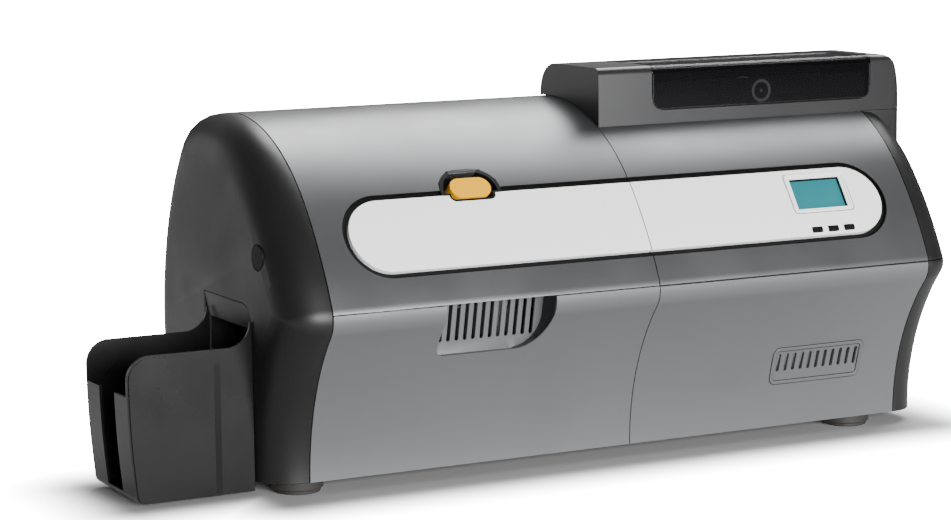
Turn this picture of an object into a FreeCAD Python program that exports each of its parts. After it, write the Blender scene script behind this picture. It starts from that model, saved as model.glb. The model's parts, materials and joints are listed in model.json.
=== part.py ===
import FreeCAD, Part
import collections
import math
import os
import types

import Sketcher

# Desktop printer for plastic identity cards, in millimetres. X runs along the printer, with the output
# hopper at -X and the card feeder at +X. The front faces -Y. The feet stand on Z = 0, and the origin
# lies under the middle of the whole machine.

os.makedirs("parts", exist_ok=True)
doc = FreeCAD.newDocument("CardPrinter")
sheet = doc.addObject("Spreadsheet::Sheet", "Sizes")

# Driving sizes, grouped by the piece that owns them

SIZES = {
    # runs along X, from the hopper to the feeder
    "hopper_reach": 100.4,
    "left_cap_run": 34.4,
    "cover_run": 535.2,
    "split_run": 278.7,
    "right_cap_run": 29.4,
    "feeder_bulge": 11.0,
    # outline of the housing, seen from its end
    "housing_depth": 277.0,
    "floor_height": 10.0,
    "toe_setback": 47.3,
    "flare_radius": 182.0,
    "nose_radius": 20.0,
    "front_radius": 309.0,
    "crown_radius": 167.7,
    "crown_place": 36.1,
    "crown_height": 279.0,
    "shoulder_radius": 40.0,
    "back_radius": 245.0,
    "back_height": 110.0,
    "crease_height": 143.3,
    "hinge_height": 205.0,
    # shells
    "shell_wall": 2.6,
    "seam_gap": 0.8,
    "fit_gap": 0.3,
    "bearing_gap": 0.05,
    "overrun": 5.0,
    # end caps
    "left_cap_round": 32.0,
    "right_cap_round": 28.0,
    "cap_wall": 3.0,
    "crease_round": 3.0,
    "pedestal_bottom": 228.0,
    # card path
    "path_height": 118.0,
    "path_place": -12.0,
    "card_width": 54.0,
    "card_thickness": 0.76,
    "frame_half": 34.0,
    "frame_sheet": 2.0,
    "frame_flange": 12.0,
    "print_frame_top": 222.0,
    "feed_frame_top": 246.0,
    "frame_end_gap": 14.0,
    # base tray and feet
    "tray_floor": 3.0,
    "tray_wall": 3.0,
    "tray_rise": 22.0,
    "foot_radius": 20.0,
    "foot_toe_radius": 18.0,
    "foot_step": 3.0,
    "foot_boss_radius": 5.0,
    "foot_left_inset": 34.0,
    "foot_right_inset": 62.0,
    "foot_front_place": -68.0,
    "foot_rear_place": 100.0,
    # card exit in the left cap
    "exit_front": -66.0,
    "exit_rear": 25.0,
    "exit_top": 144.0,
    "exit_bottom": 92.0,
    "exit_corner": 16.0,
    "exit_wall": 2.0,
    "exit_depth": 26.0,
    "exit_tilt": 2.5,
    "slot_front": -56.0,
    "slot_rear": 20.0,
    "slot_top": 125.0,
    "slot_bottom": 99.0,
    "plug_place": -80.0,
    "plug_height": 181.7,
    "plug_radius": 10.0,
    "plug_step": 2.0,
    # output hopper
    "hopper_front": -67.8,
    "hopper_rear": 19.0,
    "hopper_wall": 2.4,
    "hopper_lift": 3.4,
    "hopper_floor": 2.6,
    "hopper_panel_inset": 1.5,
    "hopper_rim": 114.0,
    "hopper_end_rim": 84.0,
    "hopper_corner": 18.0,
    "hopper_foot_round": 7.0,
    "hopper_neck_rise": 18.0,
    "hopper_neck_tip": 1.5,
    "hopper_lean": 5.0,
    "hopper_slot_front": -41.0,
    "hopper_slot_rear": -9.0,
    "hopper_slot_bottom": 9.0,
    "hopper_panel_run": 72.0,
    "hopper_panel_proud": 1.2,
    # white plate across both covers
    "plate_height": 195.5,
    "plate_left_inset": 27.6,
    "plate_right_inset": 29.6,
    "plate_half": 30.0,
    "groove_width": 5.0,
    "groove_depth": 3.6,
    "plate_proud": 0.4,
    # latch button and hook
    "latch_left": 122.0,
    "latch_width": 34.5,
    "latch_low": 26.5,
    "latch_tall": 18.0,
    "latch_travel": 3.0,
    "latch_proud": 1.4,
    "bezel_side": 7.5,
    "bezel_low": 2.2,
    "bezel_high": 8.0,
    "bezel_foot_round": 5.0,
    "bezel_shoulder": 11.0,
    "bezel_depth": 16.0,
    "bezel_wall": 1.6,
    "hook_place": -91.0,
    "hook_pivot": 168.0,
    "hook_width": 18.0,
    "hook_arm": 4.0,
    "hook_tip": 132.0,
    "hook_pin": 2.5,
    "striker_sheet": 2.0,
    "striker_width": 46.0,
    "striker_top": 150.0,
    # display and keys
    "screen_left": 140.9,
    "screen_width": 58.0,
    "screen_low": -10.0,
    "screen_tall": 36.0,
    "screen_corner": 4.0,
    "screen_depth": 13.0,
    "glass_inset_x": 5.4,
    "glass_inset_low": 4.4,
    "glass_inset_high": 5.2,
    "glass_sunk": 2.0,
    "key_first": 152.2,
    "key_pitch": 15.45,
    "key_width": 9.4,
    "key_tall": 4.6,
    "key_low": -27.2,
    "key_proud": 0.8,
    "key_travel": 1.0,
    "key_corner": 1.2,
    "board_sheet": 1.6,
    # vents
    "left_vent_left": 93.2,
    "left_vent_width": 93.8,
    "left_vent_bottom": 101.0,
    "left_vent_foot": -109.0,
    "left_vent_head": -119.0,
    "left_vent_corner": 8.0,
    "left_vent_sweep": 26.0,
    "left_slot_first": 98.6,
    "left_slot_pitch": 7.1,
    "left_slot_width": 3.2,
    "left_slot_bottom": 111.0,
    "left_slot_top": 141.0,
    "left_slot_count": 12.0,
    "right_slot_first": 134.6,
    "right_slot_pitch": 7.5,
    "right_slot_width": 3.0,
    "right_slot_bottom": 56.5,
    "right_slot_top": 71.5,
    "right_slot_count": 11.0,
    # feeder
    "feeder_front": -44.0,
    "feeder_depth": 96.0,
    "feeder_height": 306.0,
    "feeder_bottom": 259.5,
    "feeder_corner": 20.0,
    "feeder_front_corner": 8.0,
    "feeder_waist_height": 250.0,
    "feeder_shoulder_height": 296.0,
    "feeder_shoulder_drop": 7.2,
    "feeder_top_drop": 20.0,
    "feeder_front_round": 6.0,
    "feeder_rear_round": 24.0,
    "window_left": 50.4,
    "window_width": 214.0,
    "window_bottom": 270.0,
    "window_corner": 12.0,
    "lid_rear": 20.0,
    "lid_wall": 2.2,
    "lid_barrel": 3.0,
    "lid_pin": 1.5,
    "lid_ear": 6.0,
    # card magazine
    "trough_wall": 1.5,
    "trough_clear": 0.6,
    "trough_left": 55.0,
    "trough_run": 206.0,
    "trough_bottom": 214.0,
    "trough_top": 292.0,
    "rail_radius": 3.0,
    "rail_height": 284.0,
    "rail_place": -26.0,
    "rail_collar": 5.4,
    "pusher_place": 94.0,
    "pusher_run": 16.0,
    "pusher_bottom": 222.0,
    "pusher_top": 276.0,
    "wheel_radius": 9.0,
    "wheel_width": 8.0,
    "wheel_height": 281.0,
    "wheel_place": -19.0,
    "wheel_cheek": 2.0,
    "wheel_axle": 2.0,
    "wheel_ribs": 18.0,
    "wheel_rib_radius": 0.8,
    # rollers, counted from the split towards the exit
    "shaft_radius": 4.0,
    "pulley_radius": 9.0,
    "pulley_width": 7.0,
    "pulley_gap": 3.0,
    "entry_place": 31.0,
    "roller_radius": 9.0,
    "platen_place": 106.0,
    "middle_place": 181.0,
    "exit_place": 250.0,
    "roller_end_gap": 3.0,
    # print head
    "head_pivot_place": 44.0,
    "head_pivot_height": 158.0,
    "head_arm": 1.5,
    "head_arm_gap": 1.0,
    "head_arm_tall": 14.0,
    "head_run": 14.0,
    "head_block_top": 150.0,
    "head_bar_top": 128.5,
    "head_bar_bottom": 120.6,
    "head_pin": 3.0,
    # ribbon
    "supply_place": 60.0,
    "takeup_place": 160.0,
    "spool_height": 200.0,
    "supply_roll": 26.0,
    "takeup_roll": 18.0,
    "film_drop": 1.0,
    "film_thickness": 0.4,
    "film_guide_reach": 17.0,
    "film_guide_height": 130.0,
    "spool_hub": 5.0,
    "ribbon_width": 57.0,
    # drive
    "motor_place": 215.0,
    "motor_post_place": 14.0,
    "motor_radius": 21.0,
    "motor_run": 38.0,
    "motor_shaft": 2.5,
    "belt_thickness": 1.5,
    "belt_width": 6.0,
    # flipper
    "flipper_side_gap": 2.0,
    "flipper_radius": 44.0,
    "flipper_disc": 3.0,
    "flipper_slot": 2.4,
    "flipper_cheek": 3.0,
    "chute_gap": 2.4,
    "chute_sheet": 1.5,
    "feed_roller_radius": 12.0,
    "feed_roller_height": 236.0,
    "feed_roller_width": 30.0,
    # electronics and rear side
    "board_left": 20.0,
    "board_run": 180.0,
    "board_front": 42.0,
    "board_depth": 78.0,
    "board_lift": 7.0,
    "post_radius": 3.5,
    "post_inset": 8.0,
    "chip_run": 22.0,
    "chip_tall": 4.0,
    "supply_box_left": 30.0,
    "supply_box_run": 150.0,
    "supply_box_depth": 74.0,
    "supply_box_tall": 42.0,
    "supply_box_front": 40.0,
    "fan_place": 70.0,
    "fan_height": 78.0,
    "fan_spider": 3.0,
    "grille_pitch": 6.0,
    "fan_size": 60.0,
    "fan_depth": 20.0,
    "fan_hub": 12.0,
    "fan_blade_gap": 1.5,
    "fan_blades": 7.0,
    "fan_axle": 2.5,
    "inlet_place": 225.0,
    "inlet_width": 28.0,
    "inlet_tall": 20.0,
    "inlet_height": 46.0,
    "inlet_depth": 22.0,
    "rocker_place": 190.0,
    "rocker_width": 15.0,
    "rocker_tall": 21.0,
    "rocker_depth": 9.0,
    "socket_place": 135.0,
    "socket_pitch": 24.0,
    "socket_width": 16.0,
    "socket_tall": 13.5,
    "socket_depth": 18.0,
    "socket_wall": 1.2,
    # cover hinge
    "hinge_barrel": 5.0,
    "hinge_pin": 2.0,
    "hinge_inset": 40.0,
    "hinge_barrel_run": 30.0,
    "hinge_step": 1.0,
    "hinge_lug": 12.0,
    "spacer_radius": 3.0,
}

Arc = collections.namedtuple("Arc", "middle end radius")
Ring = collections.namedtuple("Ring", "y z radius bulge")


def words(amount):
    """The text that stands for an amount in an expression."""
    return amount.text if isinstance(amount, Size) else f"({float(amount):.9g})"


class Size(float):
    """A number that keeps the sheet expression it comes from."""

    def __new__(cls, number, text):
        size = super().__new__(cls, number)
        size.text = text
        return size

    def __add__(self, other):
        return Size(float(self) + float(other), f"({self.text} + {words(other)})")

    def __radd__(self, other):
        return Size(float(other) + float(self), f"({words(other)} + {self.text})")

    def __sub__(self, other):
        return Size(float(self) - float(other), f"({self.text} - {words(other)})")

    def __rsub__(self, other):
        return Size(float(other) - float(self), f"({words(other)} - {self.text})")

    def __mul__(self, other):
        return Size(float(self) * float(other), f"({self.text} * {words(other)})")

    def __rmul__(self, other):
        return Size(float(other) * float(self), f"({words(other)} * {self.text})")

    def __truediv__(self, other):
        return Size(float(self) / float(other), f"({self.text} / {words(other)})")

    def __neg__(self):
        return Size(-float(self), f"(0 - {self.text})")


def fill_sheet():
    """Writes every driving size into the sheet under its own alias."""
    for row, (name, number) in enumerate(SIZES.items(), start=1):
        sheet.set(f"A{row}", name)
        sheet.set(f"B{row}", str(number))
        sheet.setAlias(f"B{row}", name)
    doc.recompute()
    return types.SimpleNamespace(**{name: Size(number, "Sizes." + name) for name, number in SIZES.items()})


size = fill_sheet()

# Planes that several pieces share

X_LEFT = (size.hopper_reach + size.left_cap_run + size.cover_run + size.right_cap_run
          + size.feeder_bulge) / -2
X_CAP = X_LEFT + size.hopper_reach
X_SEAM_LEFT = X_CAP + size.left_cap_run
X_SPLIT = X_SEAM_LEFT + size.split_run
X_SEAM_RIGHT = X_SEAM_LEFT + size.cover_run
X_RIGHT = X_SEAM_RIGHT + size.right_cap_run
X_END = X_RIGHT + size.feeder_bulge
Y_FRONT = size.housing_depth / -2
Y_BACK = size.housing_depth / 2
HALF_SEAM = size.seam_gap / 2
CORNER_SHARE = 1 - math.sqrt(0.5)
FLOOR_TOP = size.floor_height + size.tray_floor
FRAME_FRONT = size.path_place - size.frame_half
FRAME_REAR = size.path_place + size.frame_half
NODES = {}


def bind(thing, name, amount):
    """Ties a property to an amount, through the sheet wherever the amount comes from it."""
    thing.setExpression(name, words(amount))


# Sketches and solids

def sketch_on(body, plane, offset):
    sketch = body.newObject("Sketcher::SketchObject", "Outline")
    support = next(f for f in body.Origin.OriginFeatures if f.Role == plane + "_Plane")
    sketch.AttachmentSupport = (support, [""])
    sketch.MapMode = "FlatFace"
    bind(sketch, "AttachmentOffset.Base.z", offset)
    return sketch


def fix(sketch, kind, *picks):
    """Adds a constraint whose last pick is its amount, tied to the sheet where it can be."""
    amount = picks[-1]
    index = sketch.addConstraint(Sketcher.Constraint(kind, *picks[:-1], float(amount)))
    if isinstance(amount, Size):
        sketch.setExpression(f"Constraints[{index}]", amount.text)


def draw(sketch, outline):
    """Draws a closed outline of points and arcs and ties its places and radii to the sheet."""
    def spot(item):
        return item.end if isinstance(item, Arc) else item

    def vector(point):
        return FreeCAD.Vector(float(point[0]), float(point[1]), 0)

    edges = []
    for item, after in zip(outline, outline[1:] + outline[:1]):
        if isinstance(after, Arc):
            arc = Part.Arc(vector(spot(item)), vector(after.middle), vector(after.end))
            edges.append((arc, after, spot(item)))
        elif (vector(spot(item)) - vector(after)).Length > 1e-6:
            edges.append((Part.LineSegment(vector(spot(item)), vector(after)), None, spot(item)))
    for edge, _, _ in edges:
        sketch.addGeometry(edge, False)
    ends = [(1 if _starts_at(sketch, i, start) else 2) for i, (_, _, start) in enumerate(edges)]
    for i, (_, arc, start) in enumerate(edges):
        follower = (i + 1) % len(edges)
        sketch.addConstraint(Sketcher.Constraint("Coincident", i, 3 - ends[i], follower, ends[follower]))
        for kind, amount, axis in (("DistanceX", start[0], -2), ("DistanceY", start[1], -1)):
            if not isinstance(amount, Size):
                continue
            if abs(amount) < 1e-9:
                sketch.addConstraint(Sketcher.Constraint("PointOnObject", i, ends[i], axis))
            else:
                fix(sketch, kind, -1, 1, i, ends[i], amount)
        if arc is not None and isinstance(arc.radius, Size):
            fix(sketch, "Radius", i, arc.radius)


def _starts_at(sketch, index, point):
    start = sketch.getPoint(index, 1)
    return math.hypot(start.x - float(point[0]), start.y - float(point[1])) < 1e-6


def new_body():
    return doc.addObject("PartDesign::Body", "Body")


def pad(body, plane, outline, start, end):
    """Adds the outline as a solid from start to end along the axis that the plane faces."""
    sketch = sketch_on(body, plane, -end if plane == "XZ" else start)
    draw(sketch, outline)
    feature = body.newObject("PartDesign::Pad", "Pad")
    feature.Profile = sketch
    bind(feature, "Length", end - start)
    doc.recompute()
    return feature


def pocket(body, plane, outline, start, end):
    """Cuts the outline away from start to end along the axis that the plane faces."""
    before = body.Shape.Volume
    sketch = sketch_on(body, plane, -start if plane == "XZ" else end)
    draw(sketch, outline)
    feature = body.newObject("PartDesign::Pocket", "Pocket")
    feature.Profile = sketch
    bind(feature, "Length", end - start)
    doc.recompute()
    if not body.Shape.Volume < before:
        raise ValueError("a pocket cut nothing from " + body.Label)
    return feature


def repeat(body, feature, pitch, count):
    """Repeats a feature along the first axis of its sketch."""
    pattern = body.newObject("PartDesign::LinearPattern", "Row")
    pattern.Originals = [feature]
    pattern.Direction = (feature.Profile[0], ["H_Axis"])
    bind(pattern, "Length", pitch * (count - 1))
    bind(pattern, "Occurrences", count)
    body.Tip = pattern
    doc.recompute()
    return pattern


def slab(plane, outline, start, end):
    body = new_body()
    pad(body, plane, outline, start, end)
    return body


def rectangle(u, v):
    return [(u[0], v[0]), (u[1], v[0]), (u[1], v[1]), (u[0], v[1])]


def rounded(u, v, radius, corners=(1, 1, 1, 1)):
    """A rectangle whose corners, from low left and on counterclockwise, are rounded where asked."""
    near = radius * CORNER_SHARE
    places = [(u[0], v[0], 1, 1), (u[1], v[0], -1, 1), (u[1], v[1], -1, -1), (u[0], v[1], 1, -1)]
    outline = []
    for turn, (x, y, right, up) in enumerate(places):
        if not corners[turn]:
            outline.append((x, y))
            continue
        along = (x, y + radius * up)
        beside = (x + radius * right, y)
        first, last = (along, beside) if turn % 2 == 0 else (beside, along)
        outline.append(first)
        outline.append(Arc((x + near * right, y + near * up), last, radius))
    return outline


def block(x, y, z):
    solid = doc.addObject("Part::Box", "Block")
    for name, (low, high) in (("Length", x), ("Width", y), ("Height", z)):
        bind(solid, name, high - low)
    for axis, (low, _) in (("x", x), ("y", y), ("z", z)):
        bind(solid, "Placement.Base." + axis, low)
    return solid


def rod(axis, centre, radius, start, end):
    """A cylinder along an axis; its centre is given in the other two axes' order."""
    solid = doc.addObject("Part::Cylinder", "Rod")
    bind(solid, "Radius", radius)
    bind(solid, "Height", end - start)
    first, second = centre
    spots = {"X": (start, first, second), "Y": (first, start, second), "Z": (first, second, start)}
    turns = {"X": ((0, 1, 0), 90), "Y": ((1, 0, 0), -90), "Z": ((0, 0, 1), 0)}
    about, degrees = turns[axis]
    solid.Placement = FreeCAD.Placement(FreeCAD.Vector(), FreeCAD.Rotation(FreeCAD.Vector(*about), degrees))
    for name, amount in zip("xyz", spots[axis]):
        bind(solid, "Placement.Base." + name, amount)
    return solid


def joined(*things):
    if len(things) == 1:
        return things[0]
    whole = doc.addObject("Part::MultiFuse", "Joined")
    whole.Shapes = list(things)
    whole.Refine = True
    return whole


def grouped(*things):
    """Separate solids of one kind that share a node."""
    whole = doc.addObject("Part::Compound", "Group")
    whole.Links = list(things)
    return whole


def minus(base, *tools):
    rest = doc.addObject("Part::Cut", "Rest")
    rest.Base = base
    rest.Tool = joined(*tools)
    rest.Refine = True
    return rest


def shared(*things):
    common = doc.addObject("Part::MultiCommon", "Shared")
    common.Shapes = list(things)
    common.Refine = True
    return common


def node(label, thing):
    thing.Label = label
    NODES[label] = thing
    return thing


# Outline of the housing: circles that touch one another from the front foot over the crown to the back

def meeting(first, first_reach, second, second_reach, upper):
    """Where two circles about two points cross, on the upper or the lower side."""
    gap = math.hypot(second[0] - first[0], second[1] - first[1])
    along = (first_reach ** 2 - second_reach ** 2 + gap ** 2) / (2 * gap)
    off = math.sqrt(max(first_reach ** 2 - along ** 2, 0.0))
    unit = ((second[0] - first[0]) / gap, (second[1] - first[1]) / gap)
    found = [(first[0] + unit[0] * along - turn * unit[1] * off,
              first[1] + unit[1] * along + turn * unit[0] * off) for turn in (1, -1)]
    found.sort(key=lambda point: point[1])
    return found[1] if upper else found[0]


def outline_rings(depth=0.0, nose=None):
    """The outline's circles at a depth inside the surface, from the front foot to the back."""
    s = SIZES
    flare_centre = (float(Y_FRONT) + s["toe_setback"] - s["flare_radius"], s["floor_height"])
    nose_start = (float(Y_FRONT) + s["nose_radius"], 0.0)
    reach = s["flare_radius"] + s["nose_radius"]
    rise = math.sqrt(reach ** 2 - (nose_start[0] - flare_centre[0]) ** 2)
    nose_centre = (nose_start[0], flare_centre[1] + rise)
    crown_centre = (s["crown_place"], s["crown_height"] - s["crown_radius"])
    front_centre = meeting(nose_centre, s["front_radius"] - s["nose_radius"],
                           crown_centre, s["front_radius"] - s["crown_radius"], False)
    back_centre = (float(Y_BACK) - s["back_radius"], s["back_height"])
    shoulder_centre = meeting(crown_centre, s["crown_radius"] - s["shoulder_radius"],
                              back_centre, s["back_radius"] - s["shoulder_radius"], True)
    nose_radius = s["nose_radius"] - depth if nose is None else nose
    nose_centre = meeting(flare_centre, s["flare_radius"] + depth + nose_radius,
                          front_centre, s["front_radius"] - depth - nose_radius, True)
    return [
        Ring(*flare_centre, s["flare_radius"] + depth, -1),
        Ring(*nose_centre, nose_radius, 1),
        Ring(*front_centre, s["front_radius"] - depth, 1),
        Ring(*crown_centre, s["crown_radius"] - depth, 1),
        Ring(*shoulder_centre, s["shoulder_radius"] - depth, 1),
        Ring(*back_centre, s["back_radius"] - depth, 1),
    ]


def touching(one, other):
    """The point where two neighbouring circles of the outline touch."""
    small, big = sorted((one, other), key=lambda ring: ring.radius)
    gap = math.hypot(small.y - big.y, small.z - big.z)
    toward = 1 if one.bulge == other.bulge else -1
    unit = ((small.y - big.y) / gap * toward, (small.z - big.z) / gap * toward)
    return (small.y + unit[0] * small.radius, small.z + unit[1] * small.radius)


def on_ring(ring, angle):
    return (ring.y + ring.radius * math.cos(angle), ring.z + ring.radius * math.sin(angle))


def outline_spans(depth=0.0, nose=None):
    """Each circle's stretch of the outline, as the circle and its first and last point."""
    rings = outline_rings(depth, nose)
    foot = (rings[0].y + rings[0].radius, rings[0].z)
    heel = (rings[-1].y + rings[-1].radius, rings[-1].z)
    stops = [foot] + [touching(a, b) for a, b in zip(rings, rings[1:])] + [heel]
    return list(zip(rings, stops, stops[1:]))


def crossing(ring, height, front):
    """The outline's place in Y where one of its circles passes a height."""
    half = math.sqrt(max(ring.radius ** 2 - (height - ring.z) ** 2, 0.0))
    return ring.y - half if front and ring.bulge > 0 else ring.y + half


def skin_y(height, front=True, depth=0.0):
    """How far forward or back the outline lies at a height."""
    spans = outline_spans(depth)
    chosen = spans[:4] if front else spans[3:][::-1]
    for ring, start, end in chosen:
        if min(start[1], end[1]) <= height <= max(start[1], end[1]):
            return crossing(ring, height, front)
    return chosen[0][1][0] if front else chosen[0][2][0]


def arc_between(ring, start, end):
    """The short way round a circle between two of its points."""
    first = math.atan2(start[1] - ring.z, start[0] - ring.y)
    sweep = math.atan2(end[1] - ring.z, end[0] - ring.y) - first
    sweep = (sweep + math.pi) % (2 * math.pi) - math.pi
    return Arc(on_ring(ring, first + sweep / 2), end, ring.radius)


def skin_path(depth, front_height, back_height, nose=None):
    """The outline from a height at the front, over the crown, down to a height at the back."""
    floor = SIZES["floor_height"]
    kept = []
    spans = outline_spans(depth, nose)
    for place, (ring, start, end) in enumerate(spans):
        rising = place < 3
        if rising and end[1] <= front_height + 1e-6:
            continue
        if not rising and place > 3 and start[1] <= back_height + 1e-6:
            continue
        if rising and start[1] < front_height:
            start = (crossing(ring, front_height, True), front_height)
        if place > 3 and end[1] < back_height:
            end = (crossing(ring, back_height, False), back_height)
        kept.append((ring, start, end))
    path = [kept[0][1]] + [arc_between(*span) for span in kept]
    if back_height < spans[-1][2][1]:
        path.append((spans[-1][2][0], max(back_height, floor)))
    return path


def backwards(path):
    """The same path of points and arcs, walked from its far end."""
    spots = [item.end if isinstance(item, Arc) else item for item in path]
    turned = [spots[-1]]
    for item, before in zip(path[:0:-1], spots[-2::-1]):
        turned.append(Arc(item.middle, before, item.radius) if isinstance(item, Arc) else before)
    return turned


def band(front_height, back_height, outer=0.0, inner=None):
    """The closed outline of a shell between two depths, from a front height to a back height."""
    inner = SIZES["shell_wall"] if inner is None else float(inner)
    outside = skin_path(float(outer), float(front_height), float(back_height))
    inside = skin_path(inner, float(front_height), float(back_height))
    return outside + backwards(inside)


def front_band(low, high, outer=0.0, inner=None):
    """The closed outline of a shell at the front only, between two heights."""
    inner = SIZES["shell_wall"] if inner is None else float(inner)
    sides = []
    for depth in (float(outer), inner):
        spans = outline_spans(depth)[:4]
        path = []
        for ring, start, end in spans:
            if end[1] <= low or start[1] >= high:
                continue
            first = start if start[1] >= low else (crossing(ring, float(low), True), float(low))
            last = end if end[1] <= high else (crossing(ring, float(high), True), float(high))
            if not path:
                path.append(first)
            path.append(arc_between(ring, first, last))
        sides.append(path)
    return sides[0] + backwards(sides[1])


def back_band(low, high, outer=0.0, inner=None):
    """The closed outline of a shell at the back only, between two heights."""
    inner = SIZES["shell_wall"] if inner is None else float(inner)
    sides = []
    for depth in (float(outer), inner):
        path = []
        for ring, start, end in outline_spans(depth)[4:]:
            if start[1] <= low or end[1] >= high:
                continue
            first = start if start[1] <= high else (crossing(ring, float(high), False), float(high))
            last = end if end[1] >= low else (crossing(ring, float(low), False), float(low))
            if not path:
                path.append(first)
            path.append(arc_between(ring, first, last))
        bottom = outline_spans(depth)[-1][2]
        if low < bottom[1]:
            path.append((bottom[0], float(low)))
        sides.append(path)
    return sides[0] + backwards(sides[1])


def whole_outline(depth, nose=None):
    floor = SIZES["floor_height"]
    return skin_path(float(depth), floor, floor, nose)


# Slanted frame of the white plate: its own Z stands square to the front at the plate's middle

def slanted_frame():
    ring = outline_rings()[2]
    height = SIZES["plate_height"]
    place = crossing(ring, height, True)
    lean = math.degrees(math.atan2(ring.y - place, height - ring.z))
    turn = FreeCAD.Rotation(FreeCAD.Vector(1, 0, 0), lean)
    return FreeCAD.Placement(FreeCAD.Vector(0, place, height), turn)


SLANT = slanted_frame()


def slanted(body):
    """Stands a body that was drawn flat on the slope of the white plate."""
    body.Placement = SLANT
    return body


def prism(outline, low, high):
    return slanted(slab("XY", outline, low, high))


def skin_slab(outline, x):
    return slab("YZ", outline, x[0], x[1])


def stadium(x, low, high):
    return rounded(x, (low, high), (high - low) / 2)


PLATE_X = (X_SEAM_LEFT + size.plate_left_inset, X_SEAM_RIGHT - size.plate_right_inset)
PRISM_REACH = size.groove_depth * 8
BED_DEPTH = size.groove_depth + size.shell_wall


def plate_outline(spread):
    x = (PLATE_X[0] - spread, PLATE_X[1] + spread)
    return stadium(x, -size.plate_half - spread, size.plate_half + spread)


# Latch and display places on the slope

LATCH_X = (X_SEAM_LEFT + size.latch_left, X_SEAM_LEFT + size.latch_left + size.latch_width)
LATCH_V = (size.latch_low, size.latch_low + size.latch_tall)
SCREEN_X = (X_SPLIT + size.screen_left, X_SPLIT + size.screen_left + size.screen_width)
SCREEN_V = (size.screen_low, size.screen_low + size.screen_tall)
KEY_V = (size.key_low, size.key_low + size.key_tall)


def bezel_outline(spread):
    """The latch pocket: close round the button on the plate, wide above it, drawn in at the shoulders."""
    low = LATCH_V[0] - size.bezel_low - spread
    high = LATCH_V[1] + size.bezel_high + spread
    near = (LATCH_X[0] - size.bezel_low - spread, LATCH_X[1] + size.bezel_low + spread)
    far = (LATCH_X[0] - size.bezel_side - spread, LATCH_X[1] + size.bezel_side + spread)
    step = size.plate_half - spread
    waist = high - size.bezel_shoulder
    foot = size.bezel_foot_round + spread
    turn = foot * CORNER_SHARE
    return [(near[0] + foot, low), (near[1] - foot, low),
            Arc((near[1] - turn, low + turn), (near[1], low + foot), foot),
            (near[1], step), (far[1], step), (far[1], waist), (far[1] - size.bezel_shoulder, high),
            (far[0] + size.bezel_shoulder, high), (far[0], waist), (far[0], step), (near[0], step),
            (near[0], low + foot), Arc((near[0] + turn, low + turn), (near[0] + foot, low), foot)]


def key_x(number):
    left = X_SPLIT + size.key_first + size.key_pitch * number
    return (left, left + size.key_width)


def upper_cover(x):
    """One upper cover: the curved shell with the sunk bed that carries its half of the white plate."""
    low = size.crease_height + HALF_SEAM
    high = size.hinge_height + HALF_SEAM
    shell = skin_slab(band(low, high), x)
    bed = skin_slab(front_band(low, size.crown_height - size.groove_depth * 4, 0, BED_DEPTH), x)
    basin = shared(bed, prism(plate_outline(size.groove_width + size.shell_wall), -PRISM_REACH, PRISM_REACH))
    outer = prism(plate_outline(size.groove_width), -PRISM_REACH, PRISM_REACH)
    sunk = skin_slab(front_band(low, size.crown_height - size.groove_depth * 4,
                                -size.overrun, size.groove_depth), x)
    return minus(joined(shell, basin), shared(outer, sunk))


def plate_half(x):
    """One half of the white plate, which lies in the sunk bed and follows the front's curve."""
    low = size.crease_height + HALF_SEAM
    skin = skin_slab(front_band(low, size.crown_height - size.groove_depth * 4,
                                -size.plate_proud, size.groove_depth), x)
    return shared(skin, prism(plate_outline(0), -PRISM_REACH, PRISM_REACH))


COVER_LEFT_X = (X_SEAM_LEFT + HALF_SEAM, X_SPLIT - HALF_SEAM)
COVER_RIGHT_X = (X_SPLIT + HALF_SEAM, X_SEAM_RIGHT - HALF_SEAM)
LATCH_HOLE = size.bezel_depth + size.overrun
LATCH_MIDDLE = (LATCH_X[0] + LATCH_X[1]) / 2
HINGE_Y = skin_y(SIZES["hinge_height"], False) + SIZES["hinge_step"]
HINGE_Z = size.hinge_height


def hinge_spans():
    """Where the two hinges of the opening cover lie along X, one near each end."""
    left = COVER_LEFT_X[0] + size.hinge_inset
    right = COVER_LEFT_X[1] - size.hinge_inset - size.hinge_barrel_run
    return [(left, left + size.hinge_barrel_run), (right, right + size.hinge_barrel_run)]


def print_cover():
    cover = upper_cover(COVER_LEFT_X)
    hole = prism(bezel_outline(size.fit_gap), -LATCH_HOLE, LATCH_HOLE)
    barrels = [rod("X", (HINGE_Y, HINGE_Z), size.hinge_barrel, *span) for span in hinge_spans()]
    webs = [block(span, (HINGE_Y - size.hinge_barrel, HINGE_Y),
                  (HINGE_Z + size.fit_gap, HINGE_Z + size.hinge_barrel)) for span in hinge_spans()]
    bores = [rod("X", (HINGE_Y, HINGE_Z), size.hinge_pin + size.bearing_gap,
                 span[0] - size.overrun, span[1] + size.overrun) for span in hinge_spans()]
    notches = []
    for start, end in hinge_spans():
        for low, top in ((start - size.hinge_lug - size.fit_gap, start),
                         (end, end + size.hinge_lug + size.fit_gap)):
            notches.append(rod("X", (HINGE_Y, HINGE_Z), size.hinge_barrel + size.fit_gap, low, top))
    node("print_cover", minus(joined(cover, *barrels, *webs), hole, *bores, *notches))


def cover_plate():
    x = COVER_LEFT_X
    hole = prism(bezel_outline(size.fit_gap), -LATCH_HOLE, LATCH_HOLE)
    node("cover_plate", minus(plate_half(x), hole))


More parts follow.
